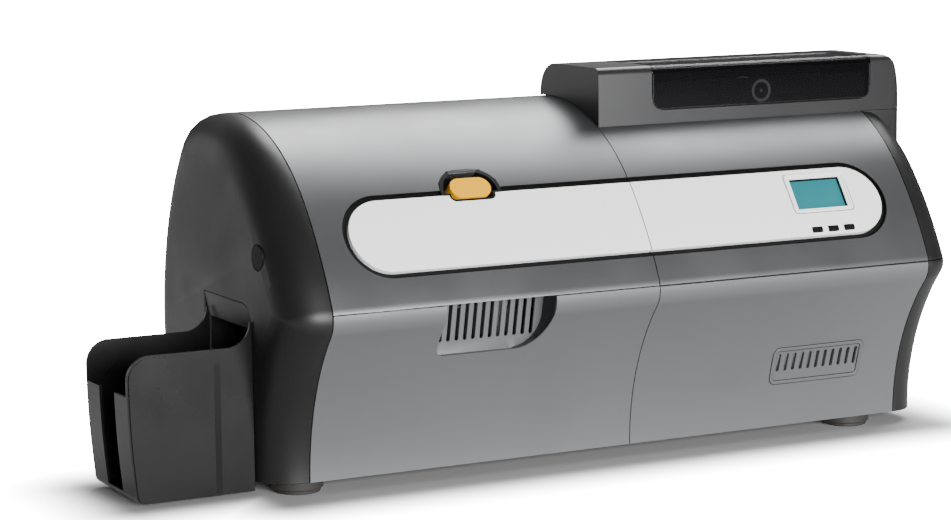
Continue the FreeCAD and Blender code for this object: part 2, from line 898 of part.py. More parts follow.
def latch_bezel():
    """Pocket round the button, open to the front, with two ears below that carry the hook's pin."""
    low, high = -size.bezel_depth, PRISM_REACH
    outer = prism(bezel_outline(0), low, high)
    inner = prism(bezel_outline(-size.bezel_wall), low + size.bezel_wall, high + size.overrun)
    skin = skin_slab(front_band(size.crease_height + HALF_SEAM, size.crown_height - size.overrun * 2,
                                0.0, size.bezel_depth * 3), COVER_LEFT_X)
    stem = prism(stadium((LATCH_X[0] + size.hook_width / 2, LATCH_X[1] - size.hook_width / 2),
                         LATCH_V[0] + size.bezel_wall, LATCH_V[1] - size.bezel_wall),
                 low - size.overrun, high)
    ears = []
    half = size.hook_width / 2 + size.fit_gap
    y = (size.hook_place - size.hook_pin * 2, size.hook_place + size.hook_pin * 4)
    for side in (-1, 1):
        near = LATCH_MIDDLE + half * side
        far = near + size.bezel_wall * side
        span = (near, far) if side > 0 else (far, near)
        ears.append(block(span, y,
                          (size.hook_pivot - size.hook_pin * 2, size.hook_pivot + size.bezel_depth * 4)))
    bore = rod("X", (size.hook_place, size.hook_pivot), size.hook_pin + size.bearing_gap,
               LATCH_X[0], LATCH_X[1])
    behind = prism(rectangle(LATCH_X, (-size.plate_half - PRISM_REACH, LATCH_V[1])), low * 4,
                   low + size.bezel_wall)
    well = joined(minus(shared(outer, skin), inner), shared(joined(*ears), behind))
    node("latch_bezel", minus(well, stem, bore))


def latch_button():
    """Yellow button with a crowned face, its travel left free above the pocket's floor."""
    low = -size.bezel_depth + size.bezel_wall + size.latch_travel + size.fit_gap
    shaft = prism(stadium(LATCH_X, *LATCH_V), low, PRISM_REACH)
    skin = skin_slab(front_band(size.crease_height + HALF_SEAM, size.crown_height - size.overrun * 2,
                                -size.latch_proud, size.bezel_depth * 2), COVER_LEFT_X)
    stem = prism(stadium((LATCH_X[0] + size.hook_width / 2 + size.fit_gap,
                          LATCH_X[1] - size.hook_width / 2 - size.fit_gap),
                         LATCH_V[0] + size.bezel_wall + size.fit_gap,
                         LATCH_V[1] - size.bezel_wall - size.fit_gap),
                 -size.bezel_depth, low + size.overrun)
    node("latch_button", joined(shared(shaft, skin), stem))


def latch_hook():
    """Hook that hangs behind the cover's front edge, on pegs in the bezel's ears."""
    half = size.hook_width / 2
    y = (size.hook_place - size.hook_arm / 2, size.hook_place + size.hook_arm / 2)
    arm = block((LATCH_MIDDLE - half, LATCH_MIDDLE + half), y, (size.hook_tip, size.hook_pivot))
    barrel = rod("X", (size.hook_place, size.hook_pivot), size.hook_pin * 2 - size.fit_gap,
                 LATCH_MIDDLE - half, LATCH_MIDDLE + half)
    peg = rod("X", (size.hook_place, size.hook_pivot), size.hook_pin,
              LATCH_MIDDLE - half - size.bezel_wall, LATCH_MIDDLE + half + size.bezel_wall)
    nose = slab("YZ", [(size.hook_place, size.hook_tip),
                       (size.hook_place + size.hook_arm * 2, size.hook_tip + size.hook_arm),
                       (size.hook_place, size.hook_tip + size.hook_arm)],
                LATCH_MIDDLE - half, LATCH_MIDDLE + half)
    node("latch_hook", joined(arm, barrel, peg, nose))


def latch_striker():
    """Folded bracket on the base tray, with the window that the hook's nose enters."""
    half = size.striker_width / 2
    face = size.hook_place + size.hook_arm * 2 + size.fit_gap
    x = (LATCH_MIDDLE - half, LATCH_MIDDLE + half)
    upright = slab("XZ", rounded(x, (FLOOR_TOP, size.striker_top), size.hook_arm, (0, 0, 1, 1)),
                   face, face + size.striker_sheet)
    pocket(upright, "XZ", rectangle((LATCH_MIDDLE - size.hook_width / 2 - size.striker_sheet,
                                     LATCH_MIDDLE + size.hook_width / 2 + size.striker_sheet),
                                    (size.hook_tip - size.striker_sheet, size.hook_tip + size.hook_arm * 2)),
           face - size.overrun, face + size.striker_sheet + size.overrun)
    flange = block(x, (face, face + size.frame_flange), (FLOOR_TOP, FLOOR_TOP + size.striker_sheet))
    node("latch_striker", joined(upright, flange))


def control_cover():
    cover = upper_cover(COVER_RIGHT_X)
    screen = prism(rounded((SCREEN_X[0] - size.fit_gap, SCREEN_X[1] + size.fit_gap),
                           (SCREEN_V[0] - size.fit_gap, SCREEN_V[1] + size.fit_gap),
                           size.screen_corner), -PRISM_REACH, PRISM_REACH)
    keys = [prism(rectangle((key_x(n)[0] - size.fit_gap, key_x(n)[1] + size.fit_gap),
                            (KEY_V[0] - size.fit_gap, KEY_V[1] + size.fit_gap)),
                  -PRISM_REACH, PRISM_REACH) for n in range(3)]
    trough = block((TROUGH_X[0] - size.fit_gap, TROUGH_X[1] + size.fit_gap),
                   (TROUGH_Y[0] - size.fit_gap, TROUGH_Y[1] + size.fit_gap),
                   (size.trough_bottom, size.feeder_height))
    node("control_cover", minus(cover, screen, *keys, trough))


def control_plate():
    screen = prism(rounded((SCREEN_X[0] - size.fit_gap, SCREEN_X[1] + size.fit_gap),
                           (SCREEN_V[0] - size.fit_gap, SCREEN_V[1] + size.fit_gap),
                           size.screen_corner), -PRISM_REACH, PRISM_REACH)
    keys = [prism(rectangle((key_x(n)[0] - size.fit_gap, key_x(n)[1] + size.fit_gap),
                            (KEY_V[0] - size.fit_gap, KEY_V[1] + size.fit_gap)),
                  -PRISM_REACH, PRISM_REACH) for n in range(3)]
    node("control_plate", minus(plate_half(COVER_RIGHT_X), screen, *keys))


GLASS_X = (SCREEN_X[0] + size.glass_inset_x, SCREEN_X[1] - size.glass_inset_x)
GLASS_V = (SCREEN_V[0] + size.glass_inset_low, SCREEN_V[1] - size.glass_inset_high)


def display():
    """Bezel frame with its glass set below the rim, and the board that carries screen and keys."""
    frame = slab("XY", rounded(SCREEN_X, SCREEN_V, size.screen_corner), -size.screen_depth, 0)
    pocket(frame, "XY", rectangle((GLASS_X[0] - size.fit_gap, GLASS_X[1] + size.fit_gap),
                                  (GLASS_V[0] - size.fit_gap, GLASS_V[1] + size.fit_gap)),
           -size.screen_depth, 0)
    node("display_bezel", slanted(frame))
    glass = slab("XY", rectangle(GLASS_X, GLASS_V), -size.screen_depth, -size.glass_sunk)
    node("display_glass", slanted(glass))
    board = slab("XY", rounded((key_x(0)[0] - size.screen_corner * 3, SCREEN_X[1] + size.screen_corner * 2),
                               (KEY_V[0] - size.screen_corner, SCREEN_V[1] + size.screen_corner),
                               size.screen_corner),
                 -size.screen_depth - size.board_sheet, -size.screen_depth)
    node("keypad_board", slanted(board))


def keys():
    """Three sprung keys that stand a little proud of the white plate."""
    for number, name in enumerate(("key_left", "key_middle", "key_right")):
        top = size.key_proud
        key = slab("XY", rounded(key_x(number), KEY_V, size.key_corner),
                   -size.screen_depth + size.key_travel + size.fit_gap, top)
        node(name, slanted(key))


# Card magazine and feeder

TROUGH_X = (X_SPLIT + size.trough_left, X_SPLIT + size.trough_left + size.trough_run)
TROUGH_HALF = size.card_width / 2 + size.trough_clear
TROUGH_Y = (size.path_place - TROUGH_HALF - size.trough_wall,
            size.path_place + TROUGH_HALF + size.trough_wall)
FEEDER_X = (X_SPLIT + HALF_SEAM, X_END)
FEEDER_REAR = size.feeder_front + size.feeder_depth
WINDOW_X = (X_SPLIT + size.window_left, X_SPLIT + size.window_left + size.window_width)
LID_AXIS = (size.lid_rear, size.feeder_height - size.lid_barrel)
BELLY_SHARE = 0.25
SHOULDER_RUN_SHARE = 0.37
SHOULDER_RISE_SHARE = 0.71
SHOULDER_SINK_SHARE = 0.6


def feeder_outline(depth):
    """The feeder's outline from its end, at a depth inside the surface."""
    front = size.feeder_front + depth
    rear = FEEDER_REAR - depth
    top = size.feeder_height - depth
    low = size.pedestal_bottom
    nose = size.feeder_front_round - depth
    back = size.feeder_rear_round - depth
    return [(front, low), (rear, low), (rear, top - back),
            Arc((rear - back * CORNER_SHARE, top - back * CORNER_SHARE), (rear - back, top), back),
            (front + nose, top),
            Arc((front + nose * CORNER_SHARE, top - nose * CORNER_SHARE), (front, top - nose), nose)]


def feeder_plan(depth):
    """The feeder's outline from above, rounded at its right-hand corners."""
    x = (FEEDER_X[0] + depth, FEEDER_X[1] - depth)
    y = (size.feeder_front + depth, FEEDER_REAR - depth)
    sharp = size.feeder_front_corner - depth
    front = rounded(x, y, sharp, (0, 1, 0, 0))
    rear = rounded(x, y, size.feeder_corner - depth, (0, 0, 1, 0))
    return front[:3] + rear[2:]


def feeder_end(depth):
    """The feeder's outline from the front, bellied at its right end."""
    x = (FEEDER_X[0] + depth, FEEDER_X[1] - depth)
    top = size.feeder_height - depth
    shoulder = size.feeder_shoulder_height - depth * SHOULDER_SINK_SHARE
    low = size.pedestal_bottom
    waist = size.feeder_waist_height
    near = x[1] - size.feeder_shoulder_drop
    far = x[1] - size.feeder_top_drop
    return [(x[0], low), (x[1], low), (x[1], waist),
            Arc((x[1] - size.feeder_shoulder_drop * BELLY_SHARE, (waist + shoulder) / 2), (near, shoulder),
                None),
            Arc((near + (far - near) * SHOULDER_RUN_SHARE,
                 shoulder + (top - shoulder) * SHOULDER_RISE_SHARE),
                (far, top), None),
            (x[0], top)]


def feeder_solid(depth):
    tall = (size.pedestal_bottom - size.overrun, size.feeder_height + size.overrun)
    x = (FEEDER_X[0] + depth, FEEDER_X[1] - depth)
    y = (size.feeder_front - size.overrun, FEEDER_REAR + size.overrun)
    return shared(slab("YZ", feeder_outline(depth), *x), slab("XY", feeder_plan(depth), *tall),
                  slab("XZ", feeder_end(depth), *y))


def window_shape(spread):
    """The lid's outline from the front, over the height that it covers."""
    x = (WINDOW_X[0] - spread, WINDOW_X[1] + spread)
    z = (size.window_bottom - spread, size.feeder_height + size.overrun)
    return slab("XZ", rounded(x, z, size.window_corner, (1, 1, 0, 0)),
                size.feeder_front - size.overrun, size.lid_rear + spread)


def feeder_housing():
    shell = minus(feeder_solid(0), feeder_solid(size.shell_wall))
    under = skin_slab(whole_outline(-size.fit_gap), (X_SPLIT, X_SEAM_RIGHT))
    beyond = block((X_SEAM_RIGHT - size.overrun, X_END + size.overrun),
                   (size.feeder_front - size.overrun, FEEDER_REAR + size.overrun),
                   (size.pedestal_bottom - size.overrun * 2, size.feeder_bottom))
    ears = []
    bores = []
    for end in (WINDOW_X[0] - size.fit_gap - size.lid_ear, WINDOW_X[1] + size.fit_gap):
        span = (end, end + size.lid_ear)
        ears.append(block(span, (LID_AXIS[0] - size.lid_barrel, LID_AXIS[0] + size.lid_barrel),
                          (LID_AXIS[1] - size.lid_barrel, LID_AXIS[1] + size.lid_barrel / 2)))
    bores.append(rod("X", LID_AXIS, size.lid_pin + size.bearing_gap,
                     WINDOW_X[0] - size.lid_ear * 2, WINDOW_X[1] + size.lid_ear * 2))
    relief = rod("X", LID_AXIS, size.lid_barrel + size.fit_gap, WINDOW_X[0] - size.fit_gap,
                 WINDOW_X[1] + size.fit_gap)
    swing = block((WINDOW_X[0] - size.fit_gap, WINDOW_X[1] + size.fit_gap),
                  (LID_AXIS[0], LID_AXIS[0] + size.lid_barrel * 2 - size.lid_pin),
                  (LID_AXIS[1], size.feeder_height + size.overrun))
    whole = joined(minus(shell, window_shape(size.fit_gap), relief, swing), *ears)
    node("feeder_housing", minus(whole, under, beyond, *bores))


def feeder_lid():
    """Smoked window that wraps from the front over the top, with barrels along its rear edge."""
    skin = minus(feeder_solid(0), feeder_solid(size.lid_wall))
    barrel = rod("X", LID_AXIS, size.lid_barrel, *WINDOW_X)
    web = block(WINDOW_X, (LID_AXIS[0] - size.lid_barrel * 2, LID_AXIS[0]),
                (size.feeder_height - size.lid_wall, size.feeder_height))
    front = window_shape(0)
    keep = block(WINDOW_X, (size.feeder_front - size.overrun, LID_AXIS[0] - size.lid_barrel),
                 (size.pedestal_bottom, size.feeder_height + size.overrun))
    bore = rod("X", LID_AXIS, size.lid_pin + size.bearing_gap, WINDOW_X[0] - size.overrun,
               WINDOW_X[1] + size.overrun)
    node("feeder_lid", minus(joined(shared(skin, front, keep), barrel, web), bore))
    pin = rod("X", LID_AXIS, size.lid_pin, WINDOW_X[0] - size.lid_ear, WINDOW_X[1] + size.lid_ear)
    node("lid_hinge_pin", pin)


# Places inside the machine

DROP_X = TROUGH_X[0] + size.trough_wall + size.chute_gap / 2
FEED_ROLLER_X = TROUGH_X[0] + size.trough_wall - size.feed_roller_radius
PUSHER_X = (TROUGH_X[0] + size.pusher_place, TROUGH_X[0] + size.pusher_place + size.pusher_run)
PUSHER_MIDDLE = (PUSHER_X[0] + PUSHER_X[1]) / 2
WHEEL_Y = (size.wheel_place, size.wheel_place + size.wheel_width)
EXIT_Y = (size.exit_front, size.exit_rear)
EXIT_Z = (size.exit_bottom, size.exit_top)
CAP_STEPS = 6
ROLLER_Z = size.path_height - size.card_thickness / 2 - size.roller_radius
ROLLER_X = {
    "entry_roller": X_SPLIT - size.entry_place,
    "platen_roller": X_SPLIT - size.platen_place,
    "middle_roller": X_SPLIT - size.middle_place,
    "exit_roller": X_SPLIT - size.exit_place,
}
HEAD_X = ROLLER_X["platen_roller"]
HEAD_PIVOT_X = X_SPLIT - size.head_pivot_place
SUPPLY_X = X_SPLIT - size.supply_place
TAKEUP_X = X_SPLIT - size.takeup_place
MOTOR_X = X_SPLIT - size.motor_place
PULLEY_Y = (FRAME_REAR + size.frame_sheet + size.pulley_gap,
            FRAME_REAR + size.frame_sheet + size.pulley_gap + size.pulley_width)
BELT_Y = ((PULLEY_Y[0] + PULLEY_Y[1] - size.belt_width) / 2,
          (PULLEY_Y[0] + PULLEY_Y[1] + size.belt_width) / 2)
MOTOR_Y = (PULLEY_Y[1] + size.pulley_gap, PULLEY_Y[1] + size.pulley_gap + size.motor_run)
FAN_X = X_SEAM_LEFT + size.fan_place
FAN_Y = (Y_BACK - size.shell_wall - size.fan_depth, Y_BACK - size.shell_wall)
BOARD_X = (X_SPLIT + size.board_left, X_SPLIT + size.board_left + size.board_run)
BOARD_Y = (size.board_front, size.board_front + size.board_depth)
POST_SPOTS = [(x, y) for x in (BOARD_X[0] + size.post_inset, BOARD_X[1] - size.post_inset)
              for y in (BOARD_Y[0] + size.post_inset, BOARD_Y[1] - size.post_inset)]
FOOT_SPOTS = [(x, y) for x in (X_CAP + size.foot_left_inset, X_RIGHT - size.foot_right_inset)
              for y in (size.foot_front_place, size.foot_rear_place)]
CHIP_SHARES = ((0.1, 0.2), (0.4, 0.5), (0.7, 0.15))
SPACER_SPOTS = [(DROP_X + size.flipper_radius + size.spacer_radius * 4,
                 size.trough_bottom - size.spacer_radius),
                (TROUGH_X[1] - size.spacer_radius * 8, size.trough_bottom - size.spacer_radius),
                (X_SEAM_LEFT + size.frame_end_gap * 2, size.print_frame_top - size.frame_end_gap),
                (X_SPLIT - size.frame_end_gap, size.print_frame_top - size.frame_end_gap),
                (X_SPLIT - size.middle_place, size.floor_height * 4)]


def hole_in_back(place, width, tall):
    left = X_SPLIT + place
    return ((left, left + width), (size.inlet_height - tall / 2, size.inlet_height + tall / 2))


REAR_HOLES = [hole_in_back(size.inlet_place, size.inlet_width, size.inlet_tall),
              hole_in_back(size.rocker_place, size.rocker_width, size.rocker_tall),
              hole_in_back(size.socket_place, size.socket_width, size.socket_tall),
              hole_in_back(size.socket_place + size.socket_pitch, size.socket_width, size.socket_tall)]


def card_trough():
    """Trough that holds the cards on edge in a row, open above, with a drop slot at its left end."""
    z = (size.trough_bottom, size.trough_top)
    outer = block(TROUGH_X, TROUGH_Y, z)
    inner = block((TROUGH_X[0] + size.trough_wall, TROUGH_X[1] - size.trough_wall),
                  (TROUGH_Y[0] + size.trough_wall, TROUGH_Y[1] - size.trough_wall),
                  (z[0] + size.trough_wall, z[1] + size.overrun))
    drop = block((DROP_X - size.chute_gap / 2, DROP_X + size.chute_gap / 2),
                 (TROUGH_Y[0] + size.trough_wall, TROUGH_Y[1] - size.trough_wall),
                 (z[0] - size.overrun, z[0] + size.overrun))
    roller = rod("Y", (FEED_ROLLER_X, size.feed_roller_height), size.feed_roller_radius + size.fit_gap * 2,
                 size.path_place - size.feed_roller_width / 2 - size.fit_gap * 2,
                 size.path_place + size.feed_roller_width / 2 + size.fit_gap * 2)
    rail = rod("X", (size.rail_place, size.rail_height), size.rail_radius, *TROUGH_X)
    node("card_trough", minus(outer, inner, drop, roller, rail))
    node("pusher_rail", rod("X", (size.rail_place, size.rail_height), size.rail_radius, *TROUGH_X))


def card_pusher():
    """Weighted block that follows the row of cards along the rail, with a ribbed wheel beside it."""
    y = (TROUGH_Y[0] + size.trough_wall + size.trough_clear,
         TROUGH_Y[1] - size.trough_wall - size.trough_clear)
    body = block(PUSHER_X, y, (size.pusher_bottom, size.pusher_top))
    collar = rod("X", (size.rail_place, size.rail_height), size.rail_collar, *PUSHER_X)
    neck = block(PUSHER_X, (size.rail_place - size.rail_radius, size.rail_place + size.rail_radius),
                 (size.pusher_top - size.overrun, size.rail_height))
    bore = rod("X", (size.rail_place, size.rail_height), size.rail_radius + size.bearing_gap,
               PUSHER_X[0] - size.overrun, PUSHER_X[1] + size.overrun)
    cheek_y = (WHEEL_Y[1] + size.fit_gap, WHEEL_Y[1] + size.fit_gap + size.wheel_cheek)
    cheek = block((PUSHER_MIDDLE - size.wheel_cheek, PUSHER_MIDDLE + size.wheel_cheek), cheek_y,
                  (size.pusher_top - size.overrun, size.wheel_height + size.wheel_cheek))
    well = rod("Y", (PUSHER_MIDDLE, size.wheel_height),
               size.wheel_radius + size.wheel_rib_radius + size.fit_gap,
               WHEEL_Y[0] - size.fit_gap, WHEEL_Y[1] + size.fit_gap)
    axle = rod("Y", (PUSHER_MIDDLE, size.wheel_height), size.wheel_axle, WHEEL_Y[0] - size.fit_gap,
               cheek_y[1])
    node("card_pusher", joined(minus(joined(body, collar, neck, cheek), bore, well), axle))
    wheel = rod("Y", (PUSHER_MIDDLE, size.wheel_height), size.wheel_radius, *WHEEL_Y)
    ribs = []
    for step in range(int(size.wheel_ribs)):
        angle = 2 * math.pi * step / size.wheel_ribs
        spot = (PUSHER_MIDDLE + size.wheel_radius * math.cos(angle),
                size.wheel_height + size.wheel_radius * math.sin(angle))
        ribs.append(rod("Y", spot, size.wheel_rib_radius, *WHEEL_Y))
    hole = rod("Y", (PUSHER_MIDDLE, size.wheel_height), size.wheel_axle + size.bearing_gap,
               WHEEL_Y[0] - size.overrun, WHEEL_Y[1] + size.overrun)
    node("pusher_wheel", minus(joined(wheel, *ribs), hole))


# Housing shells

def cap_form(x_seam, x_outer, radius, depth):
    """An end cap's form at a depth inside its surface: a straight run that rounds over to the end face."""
    side = 1 if x_outer > x_seam else -1
    bend = radius - depth
    turn = x_outer - radius * side
    body = new_body()
    start = x_seam if depth == 0 else x_seam - size.overrun * side
    pad(body, "YZ", whole_outline(depth), *((start, turn) if side > 0 else (turn, start)))
    sections = []
    for step in range(CAP_STEPS + 1):
        angle = math.pi / 2 * step / CAP_STEPS
        sunk = float(depth) + float(bend) * (1 - math.cos(angle))
        sketch = sketch_on(body, "YZ", turn + bend * (math.sin(angle) * side))
        draw(sketch, whole_outline(sunk, max(SIZES["nose_radius"] - sunk, SIZES["crease_round"])))
        sections.append(sketch)
    loft = body.newObject("PartDesign::AdditiveLoft", "Rounding")
    loft.Profile = sections[0]
    loft.Sections = sections[1:]
    loft.Ruled = True
    doc.recompute()
    return body


def cap_shell(x_seam, x_outer, radius):
    return minus(cap_form(x_seam, x_outer, radius, 0), cap_form(x_seam, x_outer, radius, size.cap_wall))


def left_cap():
    """Left end cap with the card exit and the blanked lock hole in its face."""
    through = (X_CAP - size.overrun, X_CAP + size.cap_wall + size.overrun)
    exit_hole = slab("YZ", rounded(EXIT_Y, EXIT_Z, size.exit_corner, (1, 0, 0, 1)), *through)
    plug_hole = rod("X", (size.plug_place, size.plug_height), size.plug_radius, *through)
    node("left_end_cap", minus(cap_shell(X_SEAM_LEFT - HALF_SEAM, X_CAP, size.left_cap_round),
                               exit_hole, plug_hole))
    face = rod("X", (size.plug_place, size.plug_height), size.plug_radius - size.fit_gap,
               X_CAP, X_CAP + size.cap_wall + size.plug_step)
    node("blanking_plug", face)


def card_exit():
    """Liner of the card exit: a hood that leans in to the slot, with walls behind it."""
    y = (EXIT_Y[0] + size.fit_gap, EXIT_Y[1] - size.fit_gap)
    z = (EXIT_Z[0] + size.fit_gap, EXIT_Z[1] - size.fit_gap)
    liner = slab("YZ", rounded(y, z, size.exit_corner - size.fit_gap, (1, 0, 0, 1)),
                 X_CAP, X_CAP + size.exit_depth)
    inner_y = (y[0] + size.exit_wall, y[1] - size.exit_wall)
    inner_z = (z[0] + size.exit_wall, z[1] - size.exit_wall)
    pocket(liner, "YZ", rounded(inner_y, inner_z, size.exit_corner - size.exit_wall, (1, 0, 0, 1)),
           X_CAP + size.exit_tilt + size.exit_wall, X_CAP + size.exit_depth)
    pocket(liner, "YZ", rectangle((size.slot_front, size.slot_rear), (size.slot_bottom, size.slot_top)),
           X_CAP, X_CAP + size.exit_depth)
    pocket(liner, "XZ",
           [(X_CAP - size.overrun, z[0] - size.overrun), (X_CAP + size.exit_tilt, z[0] - size.overrun),
                         (X_CAP + size.exit_tilt, size.slot_top), (X_CAP, z[1]),
                         (X_CAP - size.overrun, z[1])], y[0] - size.overrun, y[1] + size.overrun)
    node("card_exit_bezel", liner)


def hopper_end(left, top, corner):
    """The hopper's left end from the front: a rounded rim, an end wall that leans in, a rounded foot."""
    foot = size.hopper_foot_round
    low = size.hopper_lift
    drawn_in = left + size.hopper_lean
    middle = (top - corner + low + foot) / 2
    return [(left + corner, top),
            Arc((left + corner * CORNER_SHARE, top - corner * CORNER_SHARE), (left, top - corner), corner),
            Arc((left + size.hopper_lean * BELLY_SHARE, middle), (drawn_in, low + foot), None),
            Arc((drawn_in + foot * CORNER_SHARE, low + foot * CORNER_SHARE), (drawn_in + foot, low), foot)]


def output_hopper():
    """Bin for the printed cards: two side walls with a raised neck, split end walls and a floor."""
    x = (X_LEFT, X_CAP - size.fit_gap)
    y = (size.hopper_front, size.hopper_rear)
    rise = size.hopper_neck_rise
    rim = size.hopper_rim
    tip = x[1] - size.hopper_neck_tip
    outline = [(x[1], size.hopper_lift), (x[1], rim + rise), (tip, rim + rise),
               Arc((tip - rise * CORNER_SHARE, rim + rise * CORNER_SHARE), (tip - rise, rim), rise)]
    hopper = slab("XZ", outline + hopper_end(x[0], rim, size.hopper_corner), *y)
    wall = size.hopper_wall
    top = rim + rise + size.overrun
    floor = size.hopper_lift + size.hopper_floor
    bend = rim - size.hopper_corner
    drawn_in = x[0] + wall + size.hopper_lean
    pocket(hopper, "XZ", [(x[1] - wall, floor), (x[1] - wall, top), (x[0] + wall, top), (x[0] + wall, bend),
                          Arc((x[0] + wall + size.hopper_lean * BELLY_SHARE, (bend + floor) / 2),
                              (drawn_in, floor),
                              None)],
           y[0] + wall, y[1] - wall)
    pocket(hopper, "YZ", rectangle((y[0] + wall, y[1] - wall), (size.hopper_end_rim, top)),
           x[0] - size.overrun, x[0] + size.hopper_corner)
    pocket(hopper, "YZ", rectangle((size.hopper_slot_front, size.hopper_slot_rear),
                                   (size.hopper_slot_bottom, size.hopper_end_rim + size.overrun)),
           x[0] - size.overrun, drawn_in)
    pocket(hopper, "YZ", rectangle((y[0] + wall, y[1] - wall), (size.slot_bottom - size.overrun, top)),
           x[1] - wall, x[1])
    inset = size.hopper_panel_inset
    right = x[0] + size.hopper_panel_run
    bend = size.hopper_corner / 2
    panel_top = rim - inset
    panel = [(right, size.hopper_lift), (right, panel_top - bend),
             Arc((right - bend * CORNER_SHARE, panel_top - bend * CORNER_SHARE), (right - bend, panel_top),
                 bend)]
    panel = slab("XZ", panel + hopper_end(x[0] + inset, panel_top, size.hopper_corner - inset),
                 y[0] - size.hopper_panel_proud, y[0])
    node("output_hopper", joined(hopper, panel))


def lower_panels():
    """The two lower front panels under the crease, each with its ventilation slots."""
    high = size.crease_height - HALF_SEAM
    floor = SIZES["floor_height"]
    vent_x = (X_SEAM_LEFT + size.left_vent_left, X_SEAM_LEFT + size.left_vent_left + size.left_vent_width)
    shell = skin_slab(front_band(floor, high), (X_SEAM_LEFT + HALF_SEAM, X_SPLIT - HALF_SEAM))
    wall = size.shell_wall
    foot = size.left_vent_bottom
    head = size.crease_height + size.overrun
    wide = (vent_x[0] - wall, vent_x[1] + wall)
    behind = skin_slab([(Y_FRONT, foot - wall), (size.left_vent_foot + wall, foot - wall),
                        (size.left_vent_head + wall, high), (Y_FRONT, high)], wide)
    tray = shared(skin_slab(whole_outline(0), wide), behind)
    tight = rounded(vent_x, (foot, head), size.left_vent_corner, (1, 0, 0, 0))
    wide_turn = rounded(vent_x, (foot, head), size.left_vent_sweep, (0, 1, 0, 0))
    corners = slab("XZ", tight[:2] + wide_turn[1:3] + tight[3:], Y_FRONT - size.overrun, size.left_vent_foot)
    before = skin_slab([(Y_FRONT - size.overrun, foot), (size.left_vent_foot, foot),
                        (size.left_vent_head, head),
                        (Y_FRONT - size.overrun, head)], vent_x)
    recess = shared(corners, before)
    slots = slot_row(X_SEAM_LEFT + size.left_slot_first, size.left_slot_width,
                     (size.left_slot_bottom, size.left_slot_top),
                     (size.left_vent_head - size.overrun, size.left_vent_foot + wall + size.overrun),
                     size.left_slot_pitch, size.left_slot_count)
    node("lower_panel_left", minus(joined(shell, tray), recess, slots))
    shell = skin_slab(front_band(floor, high), (X_SPLIT + HALF_SEAM, X_SEAM_RIGHT - HALF_SEAM))
    slots = slot_row(X_SPLIT + size.right_slot_first, size.right_slot_width,
                     (size.right_slot_bottom, size.right_slot_top),
                     (Y_FRONT, Y_FRONT + size.toe_setback + size.overrun),
                     size.right_slot_pitch, size.right_slot_count)
    node("lower_panel_right", minus(shell, slots))


def slot_row(first, width, z, y, pitch, count):
    """A row of upright slots along X, as one cutting tool."""
    body = new_body()
    feature = pad(body, "XZ", rounded((first, first + width), z, width / 2), *y)
    repeat(body, feature, pitch, count)
    return body


def right_caps():
    """Right end cap in two pieces that part at the crease; the upper one carries the feeder's foot."""
    outer = cap_form(X_SEAM_RIGHT + HALF_SEAM, X_RIGHT, size.right_cap_round, 0)
    inner = cap_form(X_SEAM_RIGHT + HALF_SEAM, X_RIGHT, size.right_cap_round, size.cap_wall)
    reach = (X_SEAM_RIGHT - size.overrun * 2, X_END + size.overrun)
    deep = (Y_FRONT - size.overrun, Y_BACK + size.overrun)
    foot_z = (size.pedestal_bottom, size.feeder_bottom)
    beside = block((X_SEAM_RIGHT + HALF_SEAM, X_END), deep, foot_z)
    foot = shared(slab("XY", feeder_plan(0), *foot_z), beside)
    hollow = slab("XY", feeder_plan(size.shell_wall), size.pedestal_bottom + size.shell_wall,
                  size.feeder_height)
    above = slab("XY", feeder_plan(-size.fit_gap), size.feeder_bottom - size.fit_gap, size.feeder_height)
    below = block(reach, deep, (0, size.crease_height + HALF_SEAM))
    node("right_cap_upper", minus(joined(outer, foot), inner, hollow, above, below))
    outer = cap_form(X_SEAM_RIGHT + HALF_SEAM, X_RIGHT, size.right_cap_round, 0)
    inner = cap_form(X_SEAM_RIGHT + HALF_SEAM, X_RIGHT, size.right_cap_round, size.cap_wall)
    high = block(reach, deep, (size.crease_height - HALF_SEAM, size.feeder_height))
    node("right_cap_lower", minus(outer, inner, high))


def rear_housing():
    """Rear moulding with the hinge lugs, the fan's grille and the openings for the sockets."""
    high = size.hinge_height - HALF_SEAM
    shell = skin_slab(back_band(SIZES["floor_height"], high),
                      (X_SEAM_LEFT + HALF_SEAM, X_SEAM_RIGHT - HALF_SEAM))
    lugs = []
    webs = []
    clear = []
    pins = []
    for start, end in hinge_spans():
        clear.append(rod("X", (HINGE_Y, HINGE_Z), size.hinge_barrel + size.fit_gap,
                         start - size.fit_gap, end + size.fit_gap))
        for low, top in ((start - size.hinge_lug, start - size.fit_gap),
                         (end + size.fit_gap, end + size.hinge_lug)):
            lugs.append(rod("X", (HINGE_Y, HINGE_Z), size.hinge_barrel, low, top))
            webs.append(block((low, top), (HINGE_Y - size.hinge_barrel, HINGE_Y),
                              (HINGE_Z - size.hinge_barrel * 2, HINGE_Z)))
        pins.append(rod("X", (HINGE_Y, HINGE_Z), size.hinge_pin, start - size.hinge_lug,
                        end + size.hinge_lug))
    bores = [rod("X", (HINGE_Y, HINGE_Z), size.hinge_pin + size.bearing_gap, start - size.hinge_lug * 2,
                 end + size.hinge_lug * 2) for start, end in hinge_spans()]
    wall_y = (Y_BACK - size.shell_wall - size.overrun, Y_BACK + size.overrun)
    grille = slot_row(FAN_X - size.fan_size / 2 + size.grille_pitch / 2, size.grille_pitch / 2,
                      (size.fan_height - size.fan_size / 2 + size.grille_pitch,
                       size.fan_height + size.fan_size / 2 - size.grille_pitch),
                      wall_y, size.grille_pitch, int(size.fan_size / size.grille_pitch))
    holes = [slab("XZ", rectangle(x, z), *wall_y) for x, z in REAR_HOLES]
    whole = minus(joined(minus(shell, *clear), *lugs, *webs), grille, *holes, *bores)
    node("rear_housing", whole)
    node("cover_hinge_pins", grouped(*pins))


